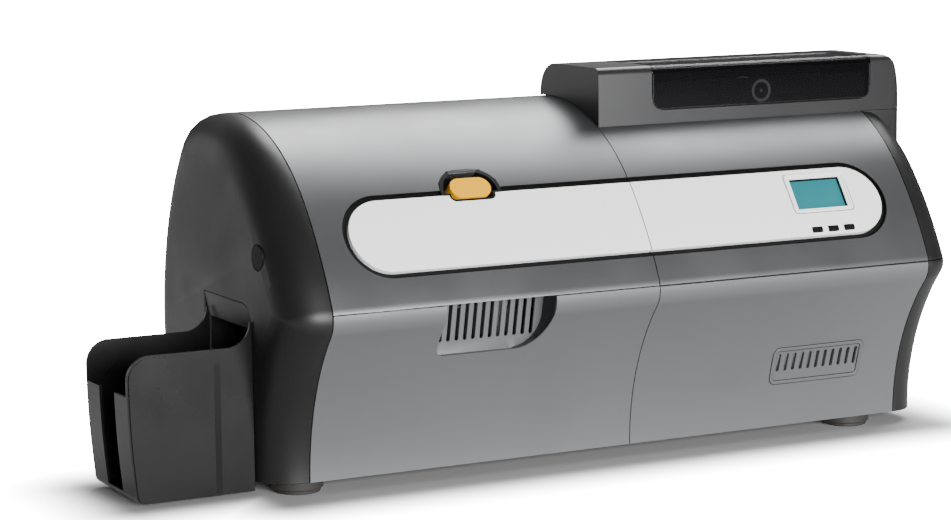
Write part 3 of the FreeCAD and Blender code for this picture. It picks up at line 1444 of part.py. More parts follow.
def base_tray():
    x = (X_CAP + size.cap_wall + size.fit_gap, X_RIGHT - size.cap_wall - size.fit_gap)
    y = (Y_FRONT + size.toe_setback + size.cap_wall + size.fit_gap, Y_BACK - size.cap_wall - size.fit_gap)
    corner = size.left_cap_round - size.cap_wall - size.fit_gap
    tray = slab("XY", rounded(x, y, corner), size.floor_height, size.floor_height + size.tray_rise)
    inner_x = (x[0] + size.tray_wall, x[1] - size.tray_wall)
    inner_y = (y[0] + size.tray_wall, y[1] - size.tray_wall)
    pocket(tray, "XY", rounded(inner_x, inner_y, corner - size.tray_wall), FLOOR_TOP,
           size.floor_height + size.tray_rise)
    posts = [rod("Z", spot, size.post_radius, FLOOR_TOP, FLOOR_TOP + size.board_lift) for spot in POST_SPOTS]
    holes = [rod("Z", spot, size.foot_boss_radius, size.floor_height - size.overrun, FLOOR_TOP)
             for spot in FOOT_SPOTS]
    node("base_tray", minus(joined(tray, *posts), *holes))
    feet = []
    for spot in FOOT_SPOTS:
        pad_part = rod("Z", spot, size.foot_radius, size.foot_step, size.floor_height)
        toe = rod("Z", spot, size.foot_toe_radius, 0, size.foot_step)
        boss = rod("Z", spot, size.foot_boss_radius, size.floor_height, FLOOR_TOP)
        feet.append(joined(pad_part, toe, boss))
    node("rubber_feet", grouped(*feet))


# Mechanism

def plate_with_holes(x, top, y, flange_side, holes):
    """A folded sheet frame with shaft holes and a flange on the base tray."""
    body = slab("XZ", rounded(x, (FLOOR_TOP, top), size.frame_flange, (0, 0, 1, 1)), *y)
    flange_y = (y[1], y[1] + size.frame_flange) if flange_side > 0 else (y[0] - size.frame_flange, y[0])
    flange = block(x, flange_y, (FLOOR_TOP, FLOOR_TOP + size.frame_sheet))
    tools = [rod("Y", (spot_x, spot_z), radius + size.bearing_gap, y[0] - size.overrun, y[1] + size.overrun)
             for spot_x, spot_z, radius in holes]
    return minus(joined(body, flange), *tools)


def frames():
    """Front and rear sheet frames of the print section and of the feed section, with their cross bars."""
    front_y = (FRAME_FRONT - size.frame_sheet, FRAME_FRONT)
    rear_y = (FRAME_REAR, FRAME_REAR + size.frame_sheet)
    print_x = (X_SEAM_LEFT + size.frame_end_gap, X_SPLIT - size.frame_end_gap / 2)
    feed_x = (X_SPLIT + size.frame_end_gap / 2, X_SEAM_RIGHT - size.frame_end_gap)
    shafts = [(place, ROLLER_Z, size.shaft_radius) for place in ROLLER_X.values()]
    spools = [(SUPPLY_X, size.spool_height, size.spool_hub), (TAKEUP_X, size.spool_height, size.spool_hub)]
    pivot = [(HEAD_PIVOT_X, size.head_pivot_height, size.head_pin)]
    motor = [(MOTOR_X, ROLLER_Z, size.motor_shaft)]
    feed = [(DROP_X, size.path_height, size.shaft_radius),
            (FEED_ROLLER_X, size.feed_roller_height, size.shaft_radius)]
    node("print_frame_front", plate_with_holes(print_x, size.print_frame_top, front_y, -1,
                                               shafts + spools + pivot))
    node("print_frame_rear", plate_with_holes(print_x, size.print_frame_top, rear_y, 1,
                                              shafts + spools + pivot + motor))
    node("feed_frame_front", plate_with_holes(feed_x, size.feed_frame_top, front_y, -1, feed))
    node("feed_frame_rear", plate_with_holes(feed_x, size.feed_frame_top, rear_y, 1, feed))
    bars = []
    for spot in SPACER_SPOTS:
        bars.append(rod("Y", spot, size.spacer_radius, FRAME_FRONT, FRAME_REAR))
    node("frame_spacers", grouped(*bars))


def rollers():
    """Rubber-covered transport rollers on steel shafts, each with a belt pulley behind the rear frame."""
    rubber_y = (size.path_place - size.card_width / 2 - size.roller_end_gap,
                size.path_place + size.card_width / 2 + size.roller_end_gap)
    for name, place in ROLLER_X.items():
        rubber = rod("Y", (place, ROLLER_Z), size.roller_radius, *rubber_y)
        shaft = rod("Y", (place, ROLLER_Z), size.shaft_radius,
                    FRAME_FRONT - size.frame_sheet - size.pulley_gap,
                    PULLEY_Y[1])
        pulley = rod("Y", (place, ROLLER_Z), size.pulley_radius, *PULLEY_Y)
        node(name, joined(rubber, shaft, pulley))
    reach = size.pulley_radius + size.fit_gap
    belt = slab("XZ", stadium((ROLLER_X["exit_roller"] - reach - size.belt_thickness,
                               ROLLER_X["entry_roller"] + reach + size.belt_thickness),
                              ROLLER_Z - reach - size.belt_thickness,
                              ROLLER_Z + reach + size.belt_thickness),
                BELT_Y[0], BELT_Y[1])
    pocket(belt, "XZ", stadium((ROLLER_X["exit_roller"] - reach, ROLLER_X["entry_roller"] + reach),
                               ROLLER_Z - reach, ROLLER_Z + reach), *BELT_Y)
    node("drive_belt", belt)
    pulley = rod("Y", (MOTOR_X, ROLLER_Z), size.pulley_radius, *PULLEY_Y)
    stub = rod("Y", (MOTOR_X, ROLLER_Z), size.motor_shaft, FRAME_REAR, MOTOR_Y[0] + size.motor_shaft * 2)
    node("motor_pulley", joined(pulley, stub))
    can = rod("Y", (MOTOR_X, ROLLER_Z), size.motor_radius, *MOTOR_Y)
    posts = [rod("Y", (MOTOR_X + size.motor_post_place * side, ROLLER_Z + size.motor_post_place),
                 size.motor_shaft, FRAME_REAR + size.frame_sheet, MOTOR_Y[0]) for side in (-1, 1)]
    bore = rod("Y", (MOTOR_X, ROLLER_Z), size.motor_shaft + size.bearing_gap, MOTOR_Y[0] - size.overrun,
               MOTOR_Y[0] + size.motor_shaft * 2 + size.fit_gap)
    node("drive_motor", minus(joined(can, *posts), bore))


def print_head():
    """Carriage that swings the print head up off the platen, and the head's own bar."""
    half = size.head_run / 2
    low, top = size.head_bar_top, size.head_block_top
    side = size.head_arm_tall / 2
    outline = [(HEAD_X - half, low), (HEAD_X + half, low),
               (HEAD_PIVOT_X + side, size.head_pivot_height - side),
               (HEAD_PIVOT_X + side, size.head_pivot_height + side),
               (HEAD_PIVOT_X - side, size.head_pivot_height + side), (HEAD_X - half, top)]
    front = (FRAME_FRONT + size.head_arm_gap, FRAME_FRONT + size.head_arm_gap + size.head_arm)
    rear = (FRAME_REAR - size.head_arm_gap - size.head_arm, FRAME_REAR - size.head_arm_gap)
    arms = [slab("XZ", outline, *y) for y in (front, rear)]
    bridge = block((HEAD_X - half, HEAD_X + half), (front[0], rear[1]), (low, top))
    shaft = rod("Y", (HEAD_PIVOT_X, size.head_pivot_height), size.head_pin,
                FRAME_FRONT - size.frame_sheet, FRAME_REAR + size.frame_sheet)
    node("printhead_carriage", joined(*arms, bridge, shaft))
    bar = block((HEAD_X - half + size.head_arm, HEAD_X + half - size.head_arm),
                (size.path_place - size.card_width / 2, size.path_place + size.card_width / 2),
                (size.head_bar_bottom, low))
    node("printhead", bar)


def strip(points, thickness):
    """The closed outline of a thin sheet that follows a list of points."""
    sides = ([], [])
    for place, (x, z) in enumerate(points):
        before = points[max(place - 1, 0)]
        after = points[min(place + 1, len(points) - 1)]
        run = math.hypot(after[0] - before[0], after[1] - before[1])
        off = (-(after[1] - before[1]) / run * thickness / 2, (after[0] - before[0]) / run * thickness / 2)
        sides[0].append((float(x) + off[0], float(z) + off[1]))
        sides[1].append((float(x) - off[0], float(z) - off[1]))
    return sides[0] + sides[1][::-1]


def ribbon():
    """Ribbon film between its supply and take-up spools, drawn under the print head."""
    y = (size.path_place - size.ribbon_width / 2, size.path_place + size.ribbon_width / 2)
    for name, place, roll in (("supply_spool", SUPPLY_X, size.supply_roll),
                              ("takeup_spool", TAKEUP_X, size.takeup_roll)):
        wound = rod("Y", (place, size.spool_height), roll, *y)
        hub = rod("Y", (place, size.spool_height), size.spool_hub, FRAME_FRONT - size.frame_sheet,
                  FRAME_REAR + size.frame_sheet + size.pulley_gap)
        node(name, joined(wound, hub))
    film_z = size.head_bar_bottom - size.film_drop
    reach = size.film_guide_reach
    points = [(SUPPLY_X - size.supply_roll - size.film_drop, size.spool_height),
              (HEAD_X + reach, size.film_guide_height), (HEAD_X + reach / 2, film_z),
              (HEAD_X - reach / 2, film_z),
              (HEAD_X - reach, size.film_guide_height),
              (TAKEUP_X + size.takeup_roll + size.film_drop, size.spool_height)]
    node("ribbon_film", slab("XZ", strip(points, size.film_thickness), *y))


def flipper():
    """Turning frame that takes a card upright from the chute and lays it flat on the path."""
    half = size.card_width / 2 + size.flipper_side_gap
    discs = [rod("Y", (DROP_X, size.path_height), size.flipper_radius, *y)
             for y in ((size.path_place - half - size.flipper_disc, size.path_place - half),
                       (size.path_place + half, size.path_place + half + size.flipper_disc))]
    reach = size.flipper_radius - size.flipper_cheek
    cheeks = []
    for side in (-1, 1):
        near = size.path_height + size.flipper_slot / 2 * side
        far = near + size.flipper_cheek * side
        z = (near, far) if side > 0 else (far, near)
        cheeks.append(block((DROP_X - reach, DROP_X + reach),
                            (size.path_place - half, size.path_place + half), z))
    stubs = [rod("Y", (DROP_X, size.path_height), size.shaft_radius, *y)
             for y in ((FRAME_FRONT - size.frame_sheet, size.path_place - half),
                       (size.path_place + half, FRAME_REAR + size.frame_sheet))]
    node("flipper", joined(*discs, *cheeks, *stubs))
    wall = size.chute_sheet
    x = (DROP_X - size.chute_gap / 2, DROP_X + size.chute_gap / 2)
    y = (size.path_place - half, size.path_place + half)
    z = (size.path_height + size.flipper_radius + size.chute_gap, size.trough_bottom)
    outer = block((x[0] - wall, x[1] + wall), (y[0] - wall, y[1] + wall), z)
    inner = block(x, y, (z[0] - size.overrun, z[1] + size.overrun))
    node("card_chute", minus(outer, inner))
    tyre = rod("Y", (FEED_ROLLER_X, size.feed_roller_height), size.feed_roller_radius,
               size.path_place - size.feed_roller_width / 2, size.path_place + size.feed_roller_width / 2)
    shaft = rod("Y", (FEED_ROLLER_X, size.feed_roller_height), size.shaft_radius,
                FRAME_FRONT - size.frame_sheet, FRAME_REAR + size.frame_sheet)
    node("feed_roller", joined(tyre, shaft))


def electronics():
    """Main board on its posts, power supply, fan, and the sockets in the rear wall."""
    z = FLOOR_TOP + size.board_lift
    card = block(BOARD_X, BOARD_Y, (z, z + size.board_sheet))
    chips = [block((BOARD_X[0] + size.board_run * share,
                    BOARD_X[0] + size.board_run * share + size.chip_run),
                   (BOARD_Y[0] + size.board_depth * deep,
                    BOARD_Y[0] + size.board_depth * deep + size.chip_run),
                   (z + size.board_sheet,
                    z + size.board_sheet + size.chip_tall)) for share, deep in CHIP_SHARES]
    node("main_board", joined(card, *chips))
    box_x = (X_SEAM_LEFT + size.supply_box_left, X_SEAM_LEFT + size.supply_box_left + size.supply_box_run)
    box_y = (size.supply_box_front, size.supply_box_front + size.supply_box_depth)
    box = block(box_x, box_y, (FLOOR_TOP, FLOOR_TOP + size.supply_box_tall))
    node("power_supply", box)
    fan()
    inlet_and_sockets()


def fan():
    half = size.fan_size / 2
    frame = block((FAN_X - half, FAN_X + half), FAN_Y, (size.fan_height - half, size.fan_height + half))
    ring = half - size.fan_blade_gap
    well = rod("Y", (FAN_X, size.fan_height), ring, FAN_Y[0] - size.overrun, FAN_Y[1] + size.overrun)
    spider_y = (FAN_Y[0], FAN_Y[0] + size.fan_spider)
    boss = rod("Y", (FAN_X, size.fan_height), size.fan_hub, *spider_y)
    arm = block((FAN_X - half, FAN_X + half), spider_y,
                (size.fan_height - size.fan_spider, size.fan_height + size.fan_spider))
    bore = rod("Y", (FAN_X, size.fan_height), size.fan_axle + size.bearing_gap, FAN_Y[0] - size.overrun,
               FAN_Y[1] + size.overrun)
    node("fan_frame", minus(joined(minus(frame, well), boss, arm), bore))
    rotor_y = (FAN_Y[0] + size.fan_spider + size.fit_gap, FAN_Y[1] - size.fan_blade_gap)
    hub = rod("Y", (FAN_X, size.fan_height), size.fan_hub, *rotor_y)
    axle = rod("Y", (FAN_X, size.fan_height), size.fan_axle, FAN_Y[0], rotor_y[1])
    blades = []
    for step in range(int(size.fan_blades)):
        blade = doc.addObject("Part::Box", "Blade")
        bind(blade, "Length", ring - size.fan_blade_gap)
        bind(blade, "Width", rotor_y[1] - rotor_y[0])
        bind(blade, "Height", size.fan_blade_gap)
        turn = FreeCAD.Rotation(FreeCAD.Vector(0, 1, 0), 360.0 * step / size.fan_blades)
        blade.Placement = FreeCAD.Placement(FreeCAD.Vector(), turn)
        for axis, amount in zip("xyz", (FAN_X, rotor_y[0], size.fan_height)):
            bind(blade, "Placement.Base." + axis, amount)
        blades.append(blade)
    node("fan_rotor", joined(hub, axle, *blades))


def inlet_and_sockets():
    """Power inlet with the rocker switch beside it, and the data sockets, all set in the rear wall."""
    (inlet_x, inlet_z), (rocker_x, rocker_z), *sockets = REAR_HOLES
    gap = size.fit_gap
    wall = size.socket_wall
    x = (inlet_x[0] + gap, inlet_x[1] - gap)
    z = (inlet_z[0] + gap, inlet_z[1] - gap)
    y = (Y_BACK - size.inlet_depth, Y_BACK)
    body = slab("XZ", rectangle(x, z), *y)
    pocket(body, "XZ", rounded((x[0] + wall * 2, x[1] - wall * 2), (z[0] + wall * 2, z[1] - wall * 2), wall),
           y[0] + wall, y[1])
    tongue = block((x[0] + wall * 6, x[1] - wall * 6), (y[0], y[1] - wall * 4),
                   (z[0] + wall * 6, z[1] - wall * 6))
    box_x = (rocker_x[0] + gap, rocker_x[1] - gap)
    box_z = (rocker_z[0] + gap, rocker_z[1] - gap)
    case = slab("XZ", rectangle(box_x, box_z), *y)
    pocket(case, "XZ", rectangle((box_x[0] + wall, box_x[1] - wall), (box_z[0] + wall, box_z[1] - wall)),
           y[0] + wall, y[1])
    bridge = block((box_x[1], x[0]), (y[0], y[0] + wall), (z[0], z[1]))
    middle = (rocker_z[0] + rocker_z[1]) / 2
    pin_y = Y_BACK - size.rocker_depth
    bore = rod("X", (pin_y, middle), wall + size.bearing_gap, box_x[0] - size.overrun, box_x[1])
    node("power_inlet", minus(joined(body, tongue, case, bridge), bore))
    half = (box_z[1] - box_z[0]) / 2 - wall - gap * 4
    rocker_wide = (box_x[0] + wall + gap, box_x[1] - wall - gap)
    rocker = slab("YZ", [(pin_y - wall, middle - wall), (Y_BACK - wall, middle - half), (Y_BACK, middle),
                         (Y_BACK - wall, middle + half), (pin_y - wall, middle + wall)], *rocker_wide)
    peg = rod("X", (pin_y, middle), wall, box_x[0], box_x[1])
    node("power_rocker", joined(rocker, peg))
    shells = []
    for hole_x, hole_z in sockets:
        sx = (hole_x[0] + gap, hole_x[1] - gap)
        sz = (hole_z[0] + gap, hole_z[1] - gap)
        shell = slab("XZ", rectangle(sx, sz), Y_BACK - size.socket_depth, Y_BACK)
        pocket(shell, "XZ", rectangle((sx[0] + wall, sx[1] - wall), (sz[0] + wall, sz[1] - wall)),
               Y_BACK - size.socket_depth + wall, Y_BACK)
        shells.append(shell)
    node("data_sockets", grouped(*shells))


def build():
    print_cover()
    cover_plate()
    latch_bezel()
    latch_button()
    latch_hook()
    latch_striker()
    control_cover()
    control_plate()
    display()
    keys()
    feeder_housing()
    feeder_lid()
    card_trough()
    card_pusher()
    left_cap()
    card_exit()
    output_hopper()
    lower_panels()
    right_caps()
    rear_housing()
    base_tray()
    frames()
    rollers()
    print_head()
    ribbon()
    flipper()
    electronics()


def check_and_write():
    """Stops on any failed object or bad shape, then writes each sub-part to its own file."""
    doc.recompute()
    failed = [thing.Name for thing in doc.Objects if "Invalid" in thing.State or "Error" in thing.State]
    if failed:
        raise ValueError("failed objects: " + ", ".join(failed))
    for label, thing in NODES.items():
        if thing.Shape.isNull() or not thing.Shape.isValid():
            raise ValueError("bad shape: " + label)
    for label, thing in NODES.items():
        thing.Shape.exportStep(f"parts/{label}.step")
        print(label, len(thing.Shape.Solids), round(thing.Shape.Volume))


build()
check_and_write()
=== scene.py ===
# %% [markdown]
# # Desktop card printer
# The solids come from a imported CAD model, which we load as a fixed frame. Everything in this lesson is in
# metres and in the same place as the CAD, so a finish or an extra piece goes straight where the real one is.

# %% Load the frame
import json
import math

import bmesh
import bpy
from mathutils import Matrix, Vector


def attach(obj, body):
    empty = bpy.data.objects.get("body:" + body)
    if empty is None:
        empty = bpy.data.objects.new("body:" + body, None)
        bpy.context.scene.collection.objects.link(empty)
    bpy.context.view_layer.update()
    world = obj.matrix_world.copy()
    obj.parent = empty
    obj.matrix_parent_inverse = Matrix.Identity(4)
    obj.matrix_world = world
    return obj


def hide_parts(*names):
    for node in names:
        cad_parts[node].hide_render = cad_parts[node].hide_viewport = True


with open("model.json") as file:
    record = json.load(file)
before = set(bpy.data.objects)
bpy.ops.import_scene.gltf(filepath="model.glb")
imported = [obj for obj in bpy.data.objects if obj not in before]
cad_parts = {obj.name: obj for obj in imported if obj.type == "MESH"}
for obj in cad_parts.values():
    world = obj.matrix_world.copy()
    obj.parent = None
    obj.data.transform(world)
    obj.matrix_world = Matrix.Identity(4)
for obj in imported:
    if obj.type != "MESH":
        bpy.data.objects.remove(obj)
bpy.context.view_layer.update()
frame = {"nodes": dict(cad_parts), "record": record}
nodes = frame["nodes"]
bodies = frame["record"]["behaviour"]["bodies"]
body_of_node = {node: body for body, group in bodies.items() for node in group}
slot_of_node = {part["node"]: part["material_slot"] for part in frame["record"]["subparts"]}

# %% [markdown]
# ## The camera
# A product photograph is taken from well back with a long lens, which keeps upright edges nearly
# parallel. The camera stands to the left of the printer and a little above it. Its direction is given by
# two angles and a slight roll, and its lens by the width of the picture.

# %% Place the camera
CAMERA_SPOT = Vector((-1.05479, -1.95653, 0.4701))
AROUND = math.radians(-27.631)
ABOVE = math.radians(8.160)
ROLL = math.radians(-0.609)
PICTURE_WIDTH = 951
FOCAL_PIXELS = 2778.56
SENSOR_WIDTH = 36.0


def stand(name, data):
    """Puts a mesh, a lamp or a camera in the scene as an object."""
    thing = bpy.data.objects.new(name, data)
    bpy.context.scene.collection.objects.link(thing)
    return thing


def place_camera():
    level = math.cos(ABOVE)
    backwards = Vector((math.sin(AROUND) * level, -math.cos(AROUND) * level, math.sin(ABOVE)))
    turn = backwards.to_track_quat("Z", "Y").to_matrix() @ Matrix.Rotation(ROLL, 3, "Z")
    data = bpy.data.cameras.new("photo_camera")
    data.sensor_width = SENSOR_WIDTH
    data.lens = FOCAL_PIXELS / PICTURE_WIDTH * data.sensor_width
    camera = stand("photo_camera", data)
    camera.matrix_world = Matrix.Translation(CAMERA_SPOT) @ turn.to_4x4()
    bpy.context.scene.camera = camera
    return camera


camera = place_camera()
print("lens:", round(camera.data.lens, 1), "mm")

# %% [markdown]
# ## The studio
# The printer stands on a wide white table that runs on until it fills the whole picture behind it. It
# could be a curved sweep, but a wall close behind would be mirrored in the crown of the shell, which is
# dark in the real picture. We round the far edge of one flat plane with a bevel, so it drops away softly.

# %% Build the table
TABLE_SIDE, TABLE_FRONT, TABLE_DEEP, TABLE_DROP = 16.0, -9.0, 30.0, 3.0
BEND, BEND_STEPS, CLOSE = 1.0, 8, 1e-6


def mesh_data(name, mesh, smooth=None):
    """Ends a bmesh as mesh data. Given an angle in degrees, only edges that turn more stay hard."""
    data = bpy.data.meshes.new(name)
    mesh.to_mesh(data)
    mesh.free()
    if smooth is not None:
        data.shade_smooth()
        data.set_sharp_from_angle(angle=math.radians(smooth))
    return data


def build_table():
    mesh = bmesh.new()
    first = mesh.verts.new((-TABLE_SIDE, TABLE_FRONT, 0.0))
    last = mesh.verts.new((TABLE_SIDE, TABLE_FRONT, 0.0))
    edge = mesh.edges.new((first, last))
    for step in (Vector((0, TABLE_DEEP, 0)), Vector((0, 0, -TABLE_DROP))):
        grown = bmesh.ops.extrude_edge_only(mesh, edges=[edge])
        edge = next(item for item in grown["geom"] if isinstance(item, bmesh.types.BMEdge))
        bmesh.ops.translate(mesh, verts=edge.verts, vec=step)
    far = TABLE_FRONT + TABLE_DEEP
    rim = [item for item in mesh.edges
           if all(abs(v.co.y - far) < CLOSE and v.co.z > -CLOSE for v in item.verts)]
    bmesh.ops.bevel(mesh, geom=rim, offset=BEND, affect="EDGES", segments=BEND_STEPS, profile=0.5,
                    material=-1)
    bmesh.ops.recalc_face_normals(mesh, faces=mesh.faces)
    if max(mesh.faces, key=lambda face: face.calc_area()).normal.z < 0:
        bmesh.ops.reverse_faces(mesh, faces=mesh.faces)
    table = stand("studio_table", mesh_data("studio_table", mesh))
    return table


table = build_table()
print("table:", [round(side, 1) for side in table.dimensions])

# %% [markdown]
# The table's paper is matt and glows a little, which lifts the panels that lean over it. For rays straight
# from the camera the glow grows with the distance from the printer until the background burns out white.
# Close to the printer it stays low, which paints a soft shadow round the footprint on top of the real
# contact shadow. Seen through the smoked lid it stays low too, or the lid would vanish against it.

# %% Paper for the table
TABLE_TONE, TABLE_GLOW = 0.50, 0.16
BURNT_OUT, THROUGH_SMOKE, HALF_LAYER = 30.0, 1.0, 0.5
# How far the painted shadow reaches from the printer, and the curve of its fade
SHADOW_REACH, SHADOW_CURVE = 0.095, 2.3
STANDING = [
    # middle and half size on the table: the housing, then the hopper at its left
    (Vector((0.046, -0.048, 0.0)), Vector((0.290, 0.060, 0.0))),
    (Vector((-0.300, -0.026, 0.0)), Vector((0.048, 0.040, 0.0))),
]


def new_material(name):
    """A new material, with its node tree and its Principled shader."""
    material = bpy.data.materials.new(name)
    material.use_nodes = True
    return material, material.node_tree, material.node_tree.nodes["Principled BSDF"]


def add(tree, kind, **settings):
    item = tree.nodes.new(kind)
    for name, value in settings.items():
        setattr(item, name, value)
    return item


def gap_to_printer(tree):
    """The distance along the table to the nearer of the two boxes that stand on it, as a socket."""
    place = add(tree, "ShaderNodeTexCoord").outputs["Object"]
    nearest = add(tree, "ShaderNodeMath", operation="MINIMUM")
    for number, (middle, half) in enumerate(STANDING):
        last = place
        steps = (("SUBTRACT", middle), ("ABSOLUTE", None), ("SUBTRACT", half), ("MAXIMUM", Vector((0, 0, 0))),
                 ("LENGTH", None))
        for operation, value in steps:
            step = add(tree, "ShaderNodeVectorMath", operation=operation)
            tree.links.new(last, step.inputs[0])
            if value is not None:
                step.inputs[1].default_value = value
            last = step.outputs["Value" if operation == "LENGTH" else "Vector"]
        tree.links.new(last, nearest.inputs[number])
    return nearest.outputs[0]


def table_paper():
    paper, tree, shader = new_material("table_paper")
    shader.inputs["Base Color"].default_value = (TABLE_TONE, TABLE_TONE, TABLE_TONE, 1)
    shader.inputs["Roughness"].default_value = 0.9
    shader.inputs["Specular IOR Level"].default_value = 0.1
    shader.inputs["Emission Color"].default_value = (1, 1, 1, 1)
    # The camera glow is low next to the printer and grows with the distance: a painted shadow round its
    # footprint.
    reach = add(tree, "ShaderNodeMapRange")
    reach.inputs["From Max"].default_value = SHADOW_REACH
    curve = add(tree, "ShaderNodeMath", operation="POWER")
    curve.inputs[1].default_value = SHADOW_CURVE
    seen = add(tree, "ShaderNodeMapRange")
    seen.inputs["To Max"].default_value = BURNT_OUT
    path = add(tree, "ShaderNodeLightPath")
    direct = add(tree, "ShaderNodeMath", operation="LESS_THAN")
    direct.inputs[1].default_value = HALF_LAYER
    bare = add(tree, "ShaderNodeMix")
    bare.inputs["A"].default_value = THROUGH_SMOKE
    glow = add(tree, "ShaderNodeMix")
    glow.inputs["A"].default_value = TABLE_GLOW
    tree.links.new(gap_to_printer(tree), reach.inputs["Value"])
    tree.links.new(reach.outputs["Result"], curve.inputs[0])
    tree.links.new(curve.outputs[0], seen.inputs["Value"])
    tree.links.new(path.outputs["Transparent Depth"], direct.inputs[0])
    tree.links.new(direct.outputs[0], bare.inputs["Factor"])
    tree.links.new(seen.outputs["Result"], bare.inputs["B"])
    tree.links.new(path.outputs["Is Camera Ray"], glow.inputs["Factor"])
    tree.links.new(bare.outputs["Result"], glow.inputs["B"])
    tree.links.new(glow.outputs["Result"], shader.inputs["Emission Strength"])
    return paper


table.data.materials.append(table_paper())

# %% [markdown]
# ## The light
# A soft box hangs high behind the printer. The round covers mirror it as one broad band just below the
# crown. A wide one low in front lifts the white plates and the panels, and a weak card at the left rear
# draws the faint sheen on the end cap. A small one close to the table is mirrored by what stands upright:
# the feeder's front and the lower edge of the covers. A wash lights the far table, and a dim world fills
# the shadows.

# %% Hang the lights
WORLD_STRENGTH = 0.15


def soft_box(name, spot, target, width, height, power):
    data = bpy.data.lights.new(name, "AREA")
    data.shape = "RECTANGLE"
    data.size = width
    data.size_y = height
    data.energy = power
    lamp = stand(name, data)
    spot = Vector(spot)
    aim = (Vector(target) - spot).to_track_quat("-Z", "Y")
    lamp.matrix_world = Matrix.Translation(spot) @ aim.to_matrix().to_4x4()
    return lamp


soft_box("crown_box", (1.15, 0.85, 2.0), (0.1, -0.05, 0.2), 2.0, 1.3, 82)
soft_box("front_box", (-0.2, -3.2, 0.62), (0.1, 0.0, 0.15), 2.4, 0.9, 208)
soft_box("low_box", (0.90, -2.26, 0.22), (0.0, -0.1, 0.22), 0.45, 0.4, 17)
soft_box("left_card", (-1.45, 2.2, 0.75), (-0.25, 0.0, 0.15), 0.9, 1.2, 5)
soft_box("table_wash", (0.0, 5.0, 3.5), (0.0, 7.0, 0.0), 9.0, 3.0, 260)

world = bpy.data.worlds.new("studio_air")
world.use_nodes = True
world.node_tree.nodes["Background"].inputs["Color"].default_value = (1, 1, 1, 1)
world.node_tree.nodes["Background"].inputs["Strength"].default_value = WORLD_STRENGTH
bpy.context.scene.world = world

# %% [markdown]
# ## Shared surface effects
# Moulded and painted plastic is never perfectly even. Three small node groups carry what the finishes
# share: a fine grain from the mould, a slow drift of tone, and a gloss that varies where hands and dust
# touch it. Each is built once and gets its own values in each material.

# %% Open a node group
def new_group(name, inputs, outputs):
    group = bpy.data.node_groups.new(name, "ShaderNodeTree")
    for label, kind, value in inputs:
        socket = group.interface.new_socket(label, in_out="INPUT", socket_type=kind)
        if value is not None:
            socket.default_value = value
    for label, kind in outputs:
        group.interface.new_socket(label, in_out="OUTPUT", socket_type=kind)
    start = group.nodes.new("NodeGroupInput")
    end = group.nodes.new("NodeGroupOutput")
    return group, start, end


# %% Mould grain
COARSE_SHARE = 0.37


def make_grain():
    """Height of a fine spark-eroded grain: two sizes of noise, the smaller one on top."""
    group, start, end = new_group(
        "mould_grain",
        [("Vector", "NodeSocketVector", None), ("Scale", "NodeSocketFloat", 900.0)],
        [("Height", "NodeSocketFloat")])
    fine = add(group, "ShaderNodeTexNoise")
    fine.inputs["Detail"].default_value = 2.0
    coarse_scale = add(group, "ShaderNodeMath", operation="MULTIPLY")
    coarse_scale.inputs[1].default_value = COARSE_SHARE
    coarse = add(group, "ShaderNodeTexNoise")
    coarse.inputs["Detail"].default_value = 1.0
    total = add(group, "ShaderNodeMath", operation="ADD")
    group.links.new(start.outputs["Vector"], fine.inputs["Vector"])
    group.links.new(start.outputs["Vector"], coarse.inputs["Vector"])
    group.links.new(start.outputs["Scale"], fine.inputs["Scale"])
    group.links.new(start.outputs["Scale"], coarse_scale.inputs[0])
    group.links.new(coarse_scale.outputs[0], coarse.inputs["Scale"])
    group.links.new(fine.outputs["Fac"], total.inputs[0])
    group.links.new(coarse.outputs["Fac"], total.inputs[1])
    group.links.new(total.outputs[0], end.inputs["Height"])
    return group


grain_group = make_grain()

# %% Tone drift
def make_drift():
    """A colour that wanders slowly between two close tones."""
    group, start, end = new_group(
        "tone_drift",
        [("Vector", "NodeSocketVector", None), ("Scale", "NodeSocketFloat", 6.0),
         ("Dark", "NodeSocketColor", (0.2, 0.2, 0.2, 1)),
         ("Light", "NodeSocketColor", (0.25, 0.25, 0.25, 1))],
        [("Color", "NodeSocketColor")])
    cloud = add(group, "ShaderNodeTexNoise")
    cloud.inputs["Detail"].default_value = 3.0
    mix = add(group, "ShaderNodeMix", data_type="RGBA")
    group.links.new(start.outputs["Vector"], cloud.inputs["Vector"])
    group.links.new(start.outputs["Scale"], cloud.inputs["Scale"])
    group.links.new(cloud.outputs["Fac"], mix.inputs["Factor"])
    group.links.new(start.outputs["Dark"], mix.inputs["A"])
    group.links.new(start.outputs["Light"], mix.inputs["B"])
    group.links.new(mix.outputs["Result"], end.inputs["Color"])
    return group


drift_group = make_drift()

# %% Handled gloss
def make_gloss():
    """Roughness between two values, patchy where hands and dust have been."""
    group, start, end = new_group(
        "handled_gloss",
        [("Vector", "NodeSocketVector", None), ("Scale", "NodeSocketFloat", 14.0),
         ("Smooth", "NodeSocketFloat", 0.3), ("Rough", "NodeSocketFloat", 0.4)],
        [("Roughness", "NodeSocketFloat")])
    patch = add(group, "ShaderNodeTexNoise")
    patch.inputs["Detail"].default_value = 4.0
    spread = add(group, "ShaderNodeMapRange")
    spread.interpolation_type = "SMOOTHSTEP"
    spread.inputs["From Min"].default_value = 0.30
    spread.inputs["From Max"].default_value = 0.70
    group.links.new(start.outputs["Vector"], patch.inputs["Vector"])
    group.links.new(start.outputs["Scale"], patch.inputs["Scale"])
    group.links.new(patch.outputs["Fac"], spread.inputs["Value"])
    group.links.new(start.outputs["Smooth"], spread.inputs["To Min"])
    group.links.new(start.outputs["Rough"], spread.inputs["To Max"])
    group.links.new(spread.outputs["Result"], end.inputs["Roughness"])
    return group


gloss_group = make_gloss()
print("groups:", grain_group.name, drift_group.name, gloss_group.name)

# %% [markdown]
# ## Finishes
# Most of the printer is moulded plastic, some of it painted with a fine metallic lacquer. One function
# wires the three groups into a Principled shader; each finish then states its tones, its gloss and how
# deep its grain is. Values that are the same all over stay on the shader's own sockets.

# %% One function for painted and moulded surfaces
COAT_ROUGHNESS = 0.08


